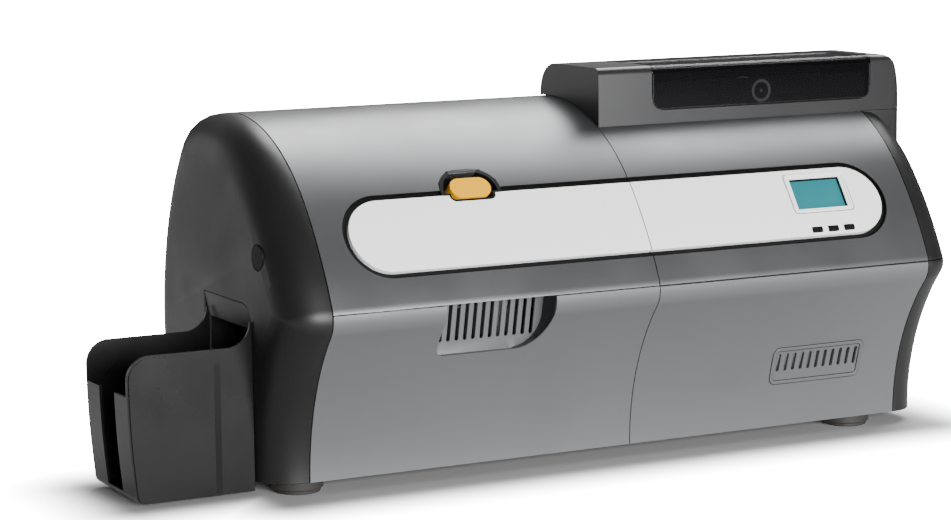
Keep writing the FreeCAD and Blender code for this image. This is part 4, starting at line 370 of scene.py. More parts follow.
def surface(name, dark, light, smooth, rough, metallic=0.0, coat=0.0, grain=900.0, depth=0.00002,
            drift=5.0, stretch=(1, 1, 1), shine=0.5):
    material, tree, shader = new_material(name)
    place = add(tree, "ShaderNodeTexCoord")
    mapping = add(tree, "ShaderNodeMapping")
    mapping.inputs["Scale"].default_value = stretch
    tree.links.new(place.outputs["Object"], mapping.inputs["Vector"])
    tone = add(tree, "ShaderNodeGroup", node_tree=drift_group)
    tone.inputs["Scale"].default_value = drift
    tone.inputs["Dark"].default_value = (*dark, 1)
    tone.inputs["Light"].default_value = (*light, 1)
    gloss = add(tree, "ShaderNodeGroup", node_tree=gloss_group)
    gloss.inputs["Smooth"].default_value = smooth
    gloss.inputs["Rough"].default_value = rough
    texture = add(tree, "ShaderNodeGroup", node_tree=grain_group)
    texture.inputs["Scale"].default_value = grain
    bump = add(tree, "ShaderNodeBump")
    bump.inputs["Strength"].default_value = 1.0
    bump.inputs["Distance"].default_value = depth
    for item in (tone, gloss, texture):
        tree.links.new(mapping.outputs["Vector"], item.inputs["Vector"])
    tree.links.new(tone.outputs["Color"], shader.inputs["Base Color"])
    tree.links.new(gloss.outputs["Roughness"], shader.inputs["Roughness"])
    tree.links.new(texture.outputs["Height"], bump.inputs["Height"])
    tree.links.new(bump.outputs["Normal"], shader.inputs["Normal"])
    shader.inputs["Metallic"].default_value = metallic
    shader.inputs["Specular IOR Level"].default_value = shine
    shader.inputs["Coat Weight"].default_value = coat
    shader.inputs["Coat Roughness"].default_value = COAT_ROUGHNESS
    return material


# %% Finishes of the outside
finishes = {
    "cover_shell": surface("gunmetal_lacquer", (0.128, 0.131, 0.135), (0.144, 0.147, 0.151), 0.34, 0.40,
                           metallic=0.80, grain=1400, depth=0.000006),
    "panel_shell": surface("silver_grey_lacquer", (0.104, 0.108, 0.112), (0.118, 0.122, 0.126), 0.44, 0.52,
                           metallic=0.30, grain=1400, depth=0.00001),
    "cap_shell": surface("charcoal_moulding", (0.006, 0.006, 0.006), (0.009, 0.009, 0.009), 0.36, 0.46,
                         grain=1100, depth=0.000015, shine=0.4),
    "white_plate": surface("white_gloss", (0.90, 0.90, 0.90), (0.92, 0.92, 0.92), 0.16, 0.24, coat=0.25,
                           grain=300, depth=0.000004),
    "yellow_button": surface("signal_yellow", (0.74, 0.36, 0.0), (0.78, 0.38, 0.0), 0.45, 0.55,
                             grain=500, depth=0.00001, shine=0.02),
    "dark_trim": surface("black_moulding", (0.004, 0.004, 0.004), (0.007, 0.007, 0.007), 0.50, 0.60,
                         grain=1100, depth=0.00002, shine=0.12),
    "gloss_trim": surface("piano_black", (0.006, 0.006, 0.006), (0.009, 0.009, 0.009), 0.24, 0.32,
                          grain=200, depth=0.000005, shine=0.22),
    "feeder_shell": surface("feeder_lacquer", (0.018, 0.018, 0.019), (0.024, 0.024, 0.025), 0.28, 0.33,
                            metallic=0.30, grain=1400, depth=0.00001),
    "key_caps": surface("key_rubber", (0.003, 0.003, 0.003), (0.005, 0.005, 0.005), 0.45, 0.60,
                        grain=900, depth=0.00001, shine=0.1),
    "foot_rubber": surface("foot_rubber", (0.014, 0.012, 0.011), (0.022, 0.019, 0.017), 0.60, 0.78,
                           grain=700, depth=0.00005),
}

# %% Finishes of the inside
finishes.update({
    "tray_plastic": surface("tray_moulding", (0.018, 0.018, 0.019), (0.028, 0.028, 0.030), 0.45, 0.60,
                            grain=800, depth=0.00003),
    "circuit_board": surface("solder_mask_green", (0.010, 0.085, 0.040), (0.016, 0.120, 0.055), 0.26, 0.36,
                             coat=0.3, grain=400, depth=0.00001, drift=60),
    "steel_shaft": surface("ground_steel", (0.50, 0.50, 0.51), (0.60, 0.60, 0.61), 0.20, 0.32, metallic=1.0,
                           grain=500, depth=0.00001, stretch=(1, 0.04, 1)),
    "sheet_steel": surface("zinc_sheet", (0.50, 0.52, 0.54), (0.64, 0.66, 0.68), 0.34, 0.50, metallic=1.0,
                           grain=220, depth=0.00001, drift=45),
    "roller_rubber": surface("roller_rubber", (0.018, 0.018, 0.019), (0.028, 0.028, 0.029), 0.55, 0.70,
                             grain=900, depth=0.00003),
    "wheel_rubber": surface("wheel_moulding", (0.22, 0.22, 0.22), (0.27, 0.27, 0.27), 0.34, 0.46,
                            grain=900, depth=0.00002),
    "belt_rubber": surface("belt_rubber", (0.016, 0.016, 0.016), (0.024, 0.024, 0.024), 0.55, 0.68,
                           grain=700, depth=0.00004),
    "brass_pulley": surface("turned_brass", (0.55, 0.38, 0.14), (0.66, 0.47, 0.20), 0.24, 0.34, metallic=1.0,
                            grain=400, depth=0.00001),
    "motor_metal": surface("plated_steel", (0.30, 0.31, 0.33), (0.38, 0.39, 0.41), 0.32, 0.44, metallic=1.0,
                           grain=300, depth=0.00001, drift=30),
    "ribbon_black": surface("ribbon_film", (0.010, 0.010, 0.012), (0.018, 0.018, 0.022), 0.14, 0.24, coat=0.3,
                            grain=160, depth=0.00001, drift=40, stretch=(0.1, 1, 0.1)),
})
print("finishes:", len(finishes))

# %% [markdown]
# ## Clear parts
# The feeder's lid is smoked plastic, which darkens what lies behind it and mirrors the light along its
# bend. The display shows teal because a backlight shines through a liquid-crystal sheet, so its glass
# glows a little.

# %% Smoked lid and display
def smoked_plastic():
    material, tree, shader = new_material("smoked_acrylic")
    shader.inputs["Base Color"].default_value = (0.002, 0.002, 0.003, 1)
    shader.inputs["Alpha"].default_value = 0.48
    shader.inputs["IOR"].default_value = 1.46
    place = add(tree, "ShaderNodeTexCoord")
    gloss = add(tree, "ShaderNodeGroup", node_tree=gloss_group)
    gloss.inputs["Smooth"].default_value = 0.02
    gloss.inputs["Rough"].default_value = 0.06
    tree.links.new(place.outputs["Object"], gloss.inputs["Vector"])
    tree.links.new(gloss.outputs["Roughness"], shader.inputs["Roughness"])
    return material


def display_glass():
    material, tree, shader = new_material("backlit_display")
    place = add(tree, "ShaderNodeTexCoord")
    tone = add(tree, "ShaderNodeGroup", node_tree=drift_group)
    tone.inputs["Scale"].default_value = 40.0
    tone.inputs["Dark"].default_value = (0.012, 0.115, 0.14, 1)
    tone.inputs["Light"].default_value = (0.020, 0.155, 0.17, 1)
    tree.links.new(place.outputs["Object"], tone.inputs["Vector"])
    tree.links.new(tone.outputs["Color"], shader.inputs["Base Color"])
    tree.links.new(tone.outputs["Color"], shader.inputs["Emission Color"])
    shader.inputs["Emission Strength"].default_value = 0.35
    shader.inputs["Roughness"].default_value = 0.12
    return material


finishes["smoked_window"] = smoked_plastic()
finishes["screen_glass"] = display_glass()

# %% Give every CAD node its finish
for node, thing in nodes.items():
    thing.data.materials.clear()
    thing.data.materials.append(finishes[slot_of_node[node]])
print("finished nodes:", len(nodes))

# %% [markdown]
# ## Softened edges
# No moulded edge is sharp: the tool leaves a radius of a few tenths of a millimetre, and it is this edge
# that catches the light. A CAD solid comes as loose triangles with hard edges. We take a copy, merge its
# points, and let a Bevel modifier round every edge that turns more than a set angle.

# %% Round the edges of a copy
def eased_copy(node, width, segments=2, turn=28.0, smooth=34.0):
    mesh = bmesh.new()
    mesh.from_mesh(nodes[node].data)
    bmesh.ops.remove_doubles(mesh, verts=mesh.verts, dist=0.00001)
    bmesh.ops.dissolve_limit(mesh, angle_limit=math.radians(0.4), verts=mesh.verts, edges=mesh.edges,
                             use_dissolve_boundaries=False)
    piece = stand(node + "_eased", mesh_data(node + "_eased", mesh, smooth))
    piece.data.materials.append(finishes[slot_of_node[node]])
    bevel = piece.modifiers.new("edge", "BEVEL")
    bevel.width = width
    bevel.segments = segments
    bevel.limit_method = "ANGLE"
    bevel.angle_limit = math.radians(turn)
    bevel.harden_normals = True
    bevel.use_clamp_overlap = True
    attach(piece, body_of_node[node])
    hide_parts(node)
    return piece


# %% [markdown]
# ## Smooth light on the shell
# The shell's outline is a chain of circles that touch. Its mesh only has flat strips, so the light breaks
# up where a groove or a slot cuts across a strip. More strips would cost faces. We know the circles, so
# each corner of a shell face simply gets the normal that the true circle has there.

# %% The circles of the outline
OUTLINE = [
    # middle in Y and Z, radius, 1 for a bulge and -1 for a hollow
    (-0.27320, 0.01000, 0.1820, -1),
    (-0.11850, 0.13989, 0.0200, 1),
    (0.14507, 0.02135, 0.3090, 1),
    (0.03610, 0.11130, 0.1677, 1),
    (0.05382, 0.23777, 0.0400, 1),
    (-0.10650, 0.11000, 0.2450, 1),
]
CAP_LEFT, CAP_RIGHT = -0.2548, 0.3442
ROUND_LEFT, ROUND_RIGHT = 0.032, 0.028
REAR_FROM, REAR_BEND_FROM = 0.0594, 0.2627
FRONT_CIRCLES = ((0.1270, 0), (0.1481, 1), (0.2181, 2))


def outline_part(y, z):
    """Which circle of the outline a place belongs to, from the heights where they touch."""
    if y < REAR_FROM:
        for limit, part in FRONT_CIRCLES:
            if z < limit:
                return part
        return 3
    return 4 if z > REAR_BEND_FROM else 5


def shell_normal(place):
    """The outward normal of the shell, of its rounded ends too, and the depth below its surface."""
    y, z, radius, bulge = OUTLINE[outline_part(place.y, place.z)]
    spoke = Vector((0, place.y - y, place.z - z))
    depth = (radius - spoke.length) * bulge
    flat = spoke.normalized() * bulge
    for cap, bend, side in ((CAP_LEFT, ROUND_LEFT, -1), (CAP_RIGHT, ROUND_RIGHT, 1)):
        past = (place.x - cap) * side + bend
        if past > 0:
            lean = math.asin(min(past / bend, 1.0))
            sunk = bend * (1 - math.cos(lean))
            return flat * math.cos(lean) + Vector((side * math.sin(lean), 0, 0)), depth - sunk
    return flat, depth


# %% Give the shell pieces their true normals
def settled_corners(piece):
    """Applies a piece's modifiers and returns its mesh with the normals of its corners."""
    scene_now = bpy.context.evaluated_depsgraph_get()
    data = bpy.data.meshes.new_from_object(piece.evaluated_get(scene_now))
    piece.modifiers.clear()
    piece.data = data
    return data, [Vector(item.vector) for item in data.corner_normals]


def true_normals(piece, deepest=0.0012, agree=12.0):
    data, corners = settled_corners(piece)
    least = math.cos(math.radians(agree))
    changed = 0
    for face in data.polygons:
        normal, depth = shell_normal(Vector(face.center))
        if abs(depth) > deepest or normal.dot(face.normal) < least:
            continue
        for corner in face.loop_indices:
            wanted = shell_normal(data.vertices[data.loops[corner].vertex_index].co)[0]
            if wanted.dot(face.normal) > least:
                corners[corner] = wanted
                changed += 1
    data.normals_split_custom_set(corners)
    return changed


# %% Soften the pieces that show
eased = {}
for node, width in {
        "print_cover": 0.0006, "control_cover": 0.0006, "cover_plate": 0.0006, "control_plate": 0.0006,
        "left_end_cap": 0.0005, "right_cap_upper": 0.0005, "right_cap_lower": 0.0005,
        "lower_panel_left": 0.0006, "lower_panel_right": 0.0005, "rear_housing": 0.0005,
        "feeder_housing": 0.0008, "feeder_lid": 0.0006, "output_hopper": 0.0008, "card_exit_bezel": 0.0008,
        "latch_bezel": 0.0005, "latch_button": 0.0030, "display_bezel": 0.0006, "blanking_plug": 0.0005,
        "key_left": 0.0008, "key_middle": 0.0008, "key_right": 0.0008, "rubber_feet": 0.001,
        "card_pusher": 0.0008, "pusher_wheel": 0.0003, "card_trough": 0.0004}.items():
    eased[node] = eased_copy(node, width, segments=4 if node == "latch_button" else 2)
print("softened:", len(eased))

# %% Straighten the light on the shell
for node in ("print_cover", "control_cover", "cover_plate", "control_plate", "left_end_cap",
             "right_cap_upper", "right_cap_lower", "lower_panel_left", "lower_panel_right", "rear_housing"):
    print(node, "corners set:", true_normals(eased[node]))

# %% [markdown]
# The hopper, the feeder, the card exit and the display's surround have broad flat walls. A wall shares its
# corner points with the rounded edges, which would bend the light across all of it, so the broad faces keep
# their own normal.

# %% Keep broad walls flat
BROAD = 0.0001


def flat_walls(piece):
    data, corners = settled_corners(piece)
    broad = [face for face in data.polygons if face.area > BROAD]
    for face in broad:
        for corner in face.loop_indices:
            corners[corner] = Vector(face.normal)
    data.normals_split_custom_set(corners)
    return len(broad)


for node in ("output_hopper", "feeder_housing", "card_exit_bezel", "display_bezel"):
    print(node, "broad faces:", flat_walls(eased[node]))

# %% [markdown]
# ## Small pieces on the front
# The next pieces are too fine for the CAD model. Most are bands round a rounded rectangle, drawn flat in
# X and Z with Y as their thickness. A second function then lays the flat drawing on the place where it
# belongs: the hollow front below, or the slope of the white plates.

# %% Bands, bars and how a piece is finished
LONG_EDGE, LONG_CUTS = 0.02, 6


def new_piece(name, mesh, slot, body, edge=0.0, smooth=35):
    """Ends a bmesh as a piece of the object with its finish, its body and softened edges."""
    bmesh.ops.recalc_face_normals(mesh, faces=mesh.faces)
    piece = stand(name, mesh_data(name, mesh, smooth))
    piece.data.materials.append(finishes[slot])
    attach(piece, body)
    if edge:
        bevel = piece.modifiers.new("edge", "BEVEL")
        bevel.width = edge
        bevel.segments = 2
    print(name, "faces:", len(piece.data.polygons))
    return piece


def add_band(mesh, x, z, corner, width, thick, steps=8):
    """A flat band round a rectangle in X and Z, with rounded corners, joined to what the mesh holds."""
    part = bmesh.new()
    corners = ((x[0], z[0]), (x[1], z[0]), (x[1], z[1]), (x[0], z[1]))
    part.faces.new([part.verts.new((u, 0.0, v)) for u, v in corners])
    bmesh.ops.bevel(part, geom=part.verts[:], offset=corner, affect="VERTICES", segments=steps, profile=0.5,
                    material=-1)
    inner = bmesh.ops.inset_region(part, faces=part.faces[:], thickness=width, use_even_offset=True,
                                   use_boundary=True)
    middle = [face for face in part.faces if face not in inner["faces"]]
    bmesh.ops.delete(part, geom=middle, context="FACES")
    bmesh.ops.subdivide_edges(part, edges=[e for e in part.edges if e.calc_length() > LONG_EDGE],
                              cuts=LONG_CUTS, use_grid_fill=True)
    grown = bmesh.ops.extrude_face_region(part, geom=part.faces[:])
    bmesh.ops.translate(part, verts=[v for v in grown["geom"] if isinstance(v, bmesh.types.BMVert)],
                        vec=(0, thick, 0))
    join(mesh, part)


def join(mesh, part):
    data = mesh_data("part", part)
    mesh.from_mesh(data)
    bpy.data.meshes.remove(data)


def add_bar(mesh, x, y, z):
    """A straight bar between two corners."""
    made = bmesh.ops.create_cube(mesh, size=1.0)
    for vertex in made["verts"]:
        share = vertex.co + Vector((0.5, 0.5, 0.5))
        vertex.co = Vector([low + (high - low) * part for (low, high), part in zip((x, y, z), share)])


def cap_ends(mesh):
    edges = [item for item in mesh.edges if item.is_boundary]
    bmesh.ops.holes_fill(mesh, edges=edges, sides=0)


def keep_side(mesh, spot, normal):
    """Cuts everything away on the side that the normal points to."""
    everything = mesh.verts[:] + mesh.edges[:] + mesh.faces[:]
    bmesh.ops.bisect_plane(mesh, geom=everything, plane_co=spot, plane_no=normal, clear_outer=True)
    cap_ends(mesh)


# %% Where a flat drawing is laid
SLOPE_Y, SLOPE_Z, SLOPE_RADIUS, _ = OUTLINE[2]
SLOPE_HEIGHT = 0.1955
SLOPE_SINE = (SLOPE_HEIGHT - SLOPE_Z) / SLOPE_RADIUS
SLOPE_COSINE = math.sqrt(1 - SLOPE_SINE ** 2)
CROWN_Y, CROWN_Z, CROWN_RADIUS, _ = OUTLINE[3]
CROWN_UP = (CROWN_Y - SLOPE_Y) * SLOPE_SINE + (CROWN_Z - SLOPE_Z) * SLOPE_COSINE
CROWN_OUT = (CROWN_Z - SLOPE_Z) * SLOPE_SINE - (CROWN_Y - SLOPE_Y) * SLOPE_COSINE
CROWN_FROM = CROWN_UP * SLOPE_RADIUS / (SLOPE_RADIUS - CROWN_RADIUS)
FRONT_SIDE = -0.1


def front_of_shell(z):
    y, height, radius, bulge = OUTLINE[outline_part(FRONT_SIDE, z)]
    return y - math.sqrt(radius ** 2 - (z - height) ** 2) * bulge


def back_of_shell(z):
    y, height, radius, _ = OUTLINE[5]
    return y + math.sqrt(radius ** 2 - (z - height) ** 2)


def lay_on_front(mesh, lift):
    """Moves points drawn in X and Z to the shell's front, a lift away from its surface."""
    for vertex in mesh.verts:
        vertex.co.y += front_of_shell(vertex.co.z) - lift


def lay_on_slope(mesh, lift, curved=True):
    """Moves points to the slope of the plates; Z was drawn up the slope from the middle of the plates.

    Above the place where the slope's circle touches the crown's, the crown's circle takes over.
    """
    for vertex in mesh.verts:
        up = vertex.co.z
        rise = lift - vertex.co.y
        out = SLOPE_RADIUS + rise
        if curved and up > CROWN_FROM:
            out = CROWN_OUT + math.sqrt((CROWN_RADIUS + rise) ** 2 - (up - CROWN_UP) ** 2)
        elif curved:
            out = math.sqrt(out ** 2 - up ** 2)
        vertex.co.y = SLOPE_Y - out * SLOPE_COSINE + up * SLOPE_SINE
        vertex.co.z = SLOPE_Z + out * SLOPE_SINE + up * SLOPE_COSINE


print("slope leans back:", round(math.degrees(math.asin(SLOPE_SINE)), 1), "degrees")

# %% [markdown]
# The right vent sits inside a low rim with two fine grooves. A groove this thin would only cost faces in
# the CAD, so dark bands paint the grooves' shade and the rim between them stands a little proud.

# %% Rim round the right vent
RIM_X, RIM_Z, RIM_CORNER = (0.1875, 0.2762), (0.0450, 0.0772), 0.006
RIM_WIDTH, RIM_PROUD, LINE = 0.0030, 0.0009, 0.0004
RIM_EDGE, LINE_PROUD = RIM_PROUD * 0.6, LINE * 0.6
ROOTED = 1.5  # a proud band is this much thicker than it stands out, so it is rooted in the wall


def inset(span, amount):
    return (span[0] + amount, span[1] - amount)


# Dark bands paint the shade of the two fine grooves round the rim.
vent_groove_shade = bmesh.new()
for step in (0.0, LINE + RIM_WIDTH):
    add_band(vent_groove_shade, inset(RIM_X, step), inset(RIM_Z, step), RIM_CORNER - step, LINE, LINE)
lay_on_front(vent_groove_shade, LINE_PROUD)
new_piece("right_vent_groove_shade", vent_groove_shade, "dark_trim", "housing")
rim = bmesh.new()
add_band(rim, inset(RIM_X, LINE), inset(RIM_Z, LINE), RIM_CORNER - LINE, RIM_WIDTH, RIM_PROUD * ROOTED)
lay_on_front(rim, RIM_PROUD)
new_piece("right_vent_rim", rim, "panel_shell", "housing", edge=RIM_EDGE)

# %% [markdown]
# Round the white plates runs a groove, and a dark sheet paints its shade. One band lies on the groove's floor
# and one stands against its outer wall. The sheet is cut where the two covers meet and where the latch sits.

# %% Painted shade in the groove round the plates
PLATE_X, PLATE_HALF = (-0.1928, 0.2852), 0.0300
GROOVE_WIDTH, GROOVE_DEPTH, SHADE_SHEET = 0.0050, 0.0036, 0.0004
LATCH_SPAN = (-0.1066, -0.0557)
COVERS_MEET = (0.0579, 0.0587)
HALF_ROUND, GROOVE_STEPS = 0.999, 24  # the ends are half circles, less a hair, so no edge shrinks to nothing


def groove_band(mesh, far, near, low, high):
    x = inset(PLATE_X, -far)
    z = (-PLATE_HALF - far, PLATE_HALF + far)
    part = bmesh.new()
    add_band(part, x, z, z[1] * HALF_ROUND, far - near, high - low, steps=GROOVE_STEPS)
    bmesh.ops.translate(part, verts=part.verts, vec=(0, -high, 0))
    join(mesh, part)


# A dark sheet on the groove's floor and outer wall paints the groove's shade.
def plate_groove_shade(name, body, spot, side, latch):
    mesh = bmesh.new()
    groove_band(mesh, GROOVE_WIDTH - SHADE_SHEET / 4, SHADE_SHEET, -GROOVE_DEPTH, SHADE_SHEET - GROOVE_DEPTH)
    groove_band(mesh, GROOVE_WIDTH - SHADE_SHEET / 4, GROOVE_WIDTH - SHADE_SHEET, -GROOVE_DEPTH, -SHADE_SHEET)
    keep_side(mesh, (spot, 0, 0), (side, 0, 0))
    if latch:
        for cut in LATCH_SPAN:
            everything = mesh.verts[:] + mesh.edges[:] + mesh.faces[:]
            bmesh.ops.bisect_plane(mesh, geom=everything, plane_co=(cut, 0, 0), plane_no=(1, 0, 0))
        gone = [face for face in mesh.faces if face.calc_center_median().z > 0
                and LATCH_SPAN[0] < face.calc_center_median().x < LATCH_SPAN[1]]
        bmesh.ops.delete(mesh, geom=gone, context="FACES")
        cap_ends(mesh)
    lay_on_slope(mesh, 0.0)
    return new_piece(name, mesh, "dark_trim", body)


plate_groove_shade("plate_groove_shade_left", "print_cover", COVERS_MEET[0], 1, True)
plate_groove_shade("plate_groove_shade_right", "housing", COVERS_MEET[1], -1, False)

# %% [markdown]
# The display has a raised frame that catches the light and a fine joint round it. Dark strips above and to
# the right of the glass paint the shade that the walls of its recess cast on it.

# %% Frame and painted shade of the display
DISPLAY_X, DISPLAY_Z, DISPLAY_CORNER = (0.1992, 0.2572), (-0.0100, 0.0260), 0.0040
GLASS_X, GLASS_Z, GLASS_SUNK = (0.2046, 0.2518), (-0.0056, 0.0208), 0.0020
FRAME_WIDTH, FRAME_PROUD, SHADE_STRIP_WIDE = 0.0024, 0.0010, 0.0008
FRAME_EDGE = FRAME_PROUD * 0.7
JOINT, JOINT_PROUD = 0.0003, 0.0005

frame_band = bmesh.new()
add_band(frame_band, inset(DISPLAY_X, JOINT), inset(DISPLAY_Z, JOINT), DISPLAY_CORNER - JOINT, FRAME_WIDTH,
         FRAME_PROUD * ROOTED)
lay_on_slope(frame_band, FRAME_PROUD, curved=False)
new_piece("display_frame", frame_band, "white_plate", "housing", edge=FRAME_EDGE)

joint_band = bmesh.new()
add_band(joint_band, inset(DISPLAY_X, -JOINT), inset(DISPLAY_Z, -JOINT), DISPLAY_CORNER + JOINT, JOINT * 2,
         JOINT * 2)
lay_on_slope(joint_band, JOINT_PROUD)
new_piece("display_joint", joint_band, "panel_shell", "housing")

# Two dark bars on the glass, along its top and right edges, paint the shade of the recess's walls.
display_shade = bmesh.new()
add_bar(display_shade, GLASS_X, (JOINT, GLASS_SUNK), (GLASS_Z[1] - SHADE_STRIP_WIDE, GLASS_Z[1]))
add_bar(display_shade, (GLASS_X[1] - SHADE_STRIP_WIDE, GLASS_X[1]), (JOINT, GLASS_SUNK), (GLASS_Z[0], GLASS_Z[1] - SHADE_STRIP_WIDE))
lay_on_slope(display_shade, 0.0, curved=False)
new_piece("display_shade_strips", display_shade, "dark_trim", "housing")

# %% [markdown]
# The latch pocket has a rounded lip. It is dark, but its upper wall is a plate in the cover's own lacquer,
# which shows over the button.

# %% Lip and plate of the latch pocket
POCKET_X, POCKET_TOP, POCKET_ROUND = (-0.1059, -0.0564), 0.0525, 0.0188
POCKET_LIP, POCKET_WALL, LIP_PROUD, FINE_EDGE = 0.0012, 0.0024, 0.0003, 0.0002
LIP_THICK, LIP_STEPS = LIP_PROUD * 4, 12
surround = bmesh.new()
add_band(surround, inset(POCKET_X, -POCKET_LIP), (-POCKET_TOP - POCKET_LIP, POCKET_TOP + POCKET_LIP),
         POCKET_ROUND + POCKET_LIP, POCKET_LIP + POCKET_WALL, LIP_THICK, steps=LIP_STEPS)
keep_side(surround, (0, 0, PLATE_HALF + SHADE_SHEET), (0, 0, -1))
lay_on_slope(surround, LIP_PROUD)
new_piece("latch_surround", surround, "dark_trim", "print_cover", edge=LIP_PROUD)

LATCH_INSERT = ((-0.0945, -0.0705), (0.0044, 0.0062), (0.0498, 0.0524))
LATCH_PLATE = ((-0.0945, -0.0705), (0.0060, 0.0130), (0.0500, 0.0509))
plate = bmesh.new()
add_bar(plate, *LATCH_INSERT)
add_bar(plate, *LATCH_PLATE)
lay_on_slope(plate, 0.0, curved=False)
new_piece("latch_pocket_plate", plate, "cover_shell", "print_cover", edge=FINE_EDGE)

# %% [markdown]
# A dark strip fills the joint between the two white plates. The smoked lid has a bead along the edge of
# its window. On the hopper, a dark strip paints the shadow that parts the front panel from the neck.

# %% Plate joint, lid bead and the hopper's painted shadow
PLATE_JOINT = ((0.05798, 0.05862), (-0.0003, 0.0012), (-PLATE_HALF, PLATE_HALF))
JOINT_CUTS = 24
strip = bmesh.new()
add_bar(strip, *PLATE_JOINT)
upright = [edge for edge in strip.edges if abs(edge.verts[0].co.z - edge.verts[1].co.z) > PLATE_HALF]
bmesh.ops.subdivide_edges(strip, edges=upright, cuts=JOINT_CUTS)
lay_on_slope(strip, 0.0)
new_piece("plate_joint", strip, "dark_trim", "housing")

LID_X, LID_Z, LID_TOP, LID_FACE = (0.1087, 0.3227), (0.2700, 0.3200), 0.2990, -0.0440
BEAD_IN, BEAD_CORNER, BEAD_WIDTH, BEAD_THICK, BEAD_EDGE = 0.0004, 0.0080, 0.0012, 0.0008, 0.0003
bead = bmesh.new()
add_band(bead, inset(LID_X, BEAD_IN), inset(LID_Z, BEAD_IN), BEAD_CORNER, BEAD_WIDTH, BEAD_THICK)
keep_side(bead, (0, 0, LID_TOP), (0, 0, 1))
bmesh.ops.translate(bead, verts=bead.verts, vec=(0, LID_FACE - BEAD_IN, 0))
new_piece("lid_bead", bead, "gloss_trim", "feeder_lid", edge=BEAD_EDGE)

# A dark strip on the hopper's front paints the shadow between the front panel and the neck.
HOPPER_SHADOW_STRIP = ((-0.2868, -0.2818), (-0.06905, -0.0682), (0.0050, 0.1030))
hopper_shade = bmesh.new()
add_bar(hopper_shade, *HOPPER_SHADOW_STRIP)
new_piece("hopper_shadow_strip", hopper_shade, "dark_trim", "housing")

# %% [markdown]
# The left vent's recess ends in a side wall that sweeps round into its floor. In its own shade it reads
# almost black, so a thin dark sheet follows the sweep and paints that shade. The joint over the right panel
# is wider than the left one and gets a dark strip.

# %% Painted shade in the left vent, and the wide joint
VENT_RIGHT, VENT_LOW, VENT_SWEEP = -0.0334, 0.1010, 0.0260
VENT_FOOT, VENT_HEAD, CREASE = -0.1090, -0.1190, 0.1429
VENT_SHADE_THICK, VENT_SHADE_INSET = 0.0004, 0.0005
SWEEP_FROM, SWEEP_STEP, SWEEP_POINTS = -84, 7, 13


# A thin dark sheet along the side wall's sweep paints the wall's shade.
def vent_shade_sheet():
    mesh = bmesh.new()
    middle = (VENT_RIGHT - VENT_SWEEP, VENT_LOW + VENT_SWEEP)
    path = [(middle[0] + VENT_SWEEP * math.cos(turn), middle[1] + VENT_SWEEP * math.sin(turn),
             math.cos(turn), math.sin(turn))
            for turn in (math.radians(SWEEP_FROM + SWEEP_STEP * step) for step in range(SWEEP_POINTS))]
    path.append((VENT_RIGHT, CREASE - VENT_SHADE_INSET, 1.0, 0.0))
    rows = []
    for x, z, out_x, out_z in path:
        deep = VENT_FOOT + (VENT_HEAD - VENT_FOOT) * (z - VENT_LOW) / (CREASE - VENT_LOW)
        shallow = front_of_shell(z) + VENT_SHADE_INSET
        near = (x - out_x * VENT_SHADE_THICK, z - out_z * VENT_SHADE_THICK)
        rows.append([mesh.verts.new(spot) for spot in (
            (x, shallow, z), (x, deep, z), (near[0], deep, near[1]), (near[0], shallow, near[1]))])
    for one, two in zip(rows, rows[1:]):
        for i in range(4):
            mesh.faces.new((one[i], one[i - 1], two[i - 1], two[i]))
    mesh.faces.new(rows[0])
    mesh.faces.new(rows[-1])
    return mesh


new_piece("left_vent_shade_sheet", vent_shade_sheet(), "cap_shell", "housing")
CREASE_STRIP, STRIP_PROUD = ((0.0590, 0.3142), (0.0, 0.0006), (0.1426, 0.1438)), 0.0001
strip = bmesh.new()
add_bar(strip, *CREASE_STRIP)
lay_on_front(strip, STRIP_PROUD)
new_piece("crease_joint", strip, "dark_trim", "housing")

# %% [markdown]
# ## The feeder's pusher wheel
# Behind the smoked lid a knurled wheel pushes the card stack along its rail. The one that shows is a disc
# in front of the pusher. A cone with equal ends makes the disc, and every second rim face is pushed in for
# the knurl. Drawing the knurl as a bump would leave a smooth outline, so it is real geometry.

# %% Discs, and the knurled wheel
def add_disc(mesh, middle, axis, radius, length, segments=24):
    """A solid disc round an axis, its middle at the given place."""
    turn = Vector((0, 0, 1)).rotation_difference(Vector(axis)).to_matrix().to_4x4()
    return bmesh.ops.create_cone(mesh, cap_ends=True, segments=segments, radius1=radius, radius2=radius,
                                 depth=length, matrix=Matrix.Translation(middle) @ turn)["verts"]


WHEEL = Vector((0.2153, -0.0404, 0.2810))
WHEEL_RADIUS, WHEEL_WIDE, KNURLS, KNURL_DEPTH = 0.0096, 0.0020, 36, 0.0006
FACE_STEPS = ((0.0016, 0.0), (0.0006, 0.0005), (0.0040, 0.0), (0.0004, -0.0004))

wheel = bmesh.new()
add_disc(wheel, WHEEL, (0, 1, 0), WHEEL_RADIUS, WHEEL_WIDE, segments=KNURLS * 2)
for vertex in wheel.verts:
    spoke = Vector((vertex.co.x - WHEEL.x, 0, vertex.co.z - WHEEL.z))
    step = round(math.atan2(spoke.z, spoke.x) / math.pi * KNURLS)
    if step % 2:
        vertex.co -= spoke.normalized() * KNURL_DEPTH
front = min(wheel.faces, key=lambda face: face.calc_center_median().y)
for inward, sunk in FACE_STEPS:
    bmesh.ops.inset_region(wheel, faces=[front], thickness=inward, use_even_offset=True)
    for vertex in front.verts:
        vertex.co.y += sunk
new_piece("pusher_wheel_face", wheel, "wheel_rubber", "pusher_wheel")

# %% [markdown]
# ## Screws
# Pan heads with a cross recess hold the rear moulding. Each is two stacked discs, the outer one smaller, with
# two dark crossing bars that paint the recess's shade. One mesh carries all the heads and one all the bars.

# %% Screw heads
SCREW_RADIUS, HEAD_SEGMENTS = 0.0032, 20
BASE_THICK, DOME_WIDE, DOME_THICK = 0.5, 0.72, 0.3
RECESS_RISE, RECESS_LONG, RECESS_WIDE, RECESS_DEEP = 0.44, 0.45, 0.1, 0.05


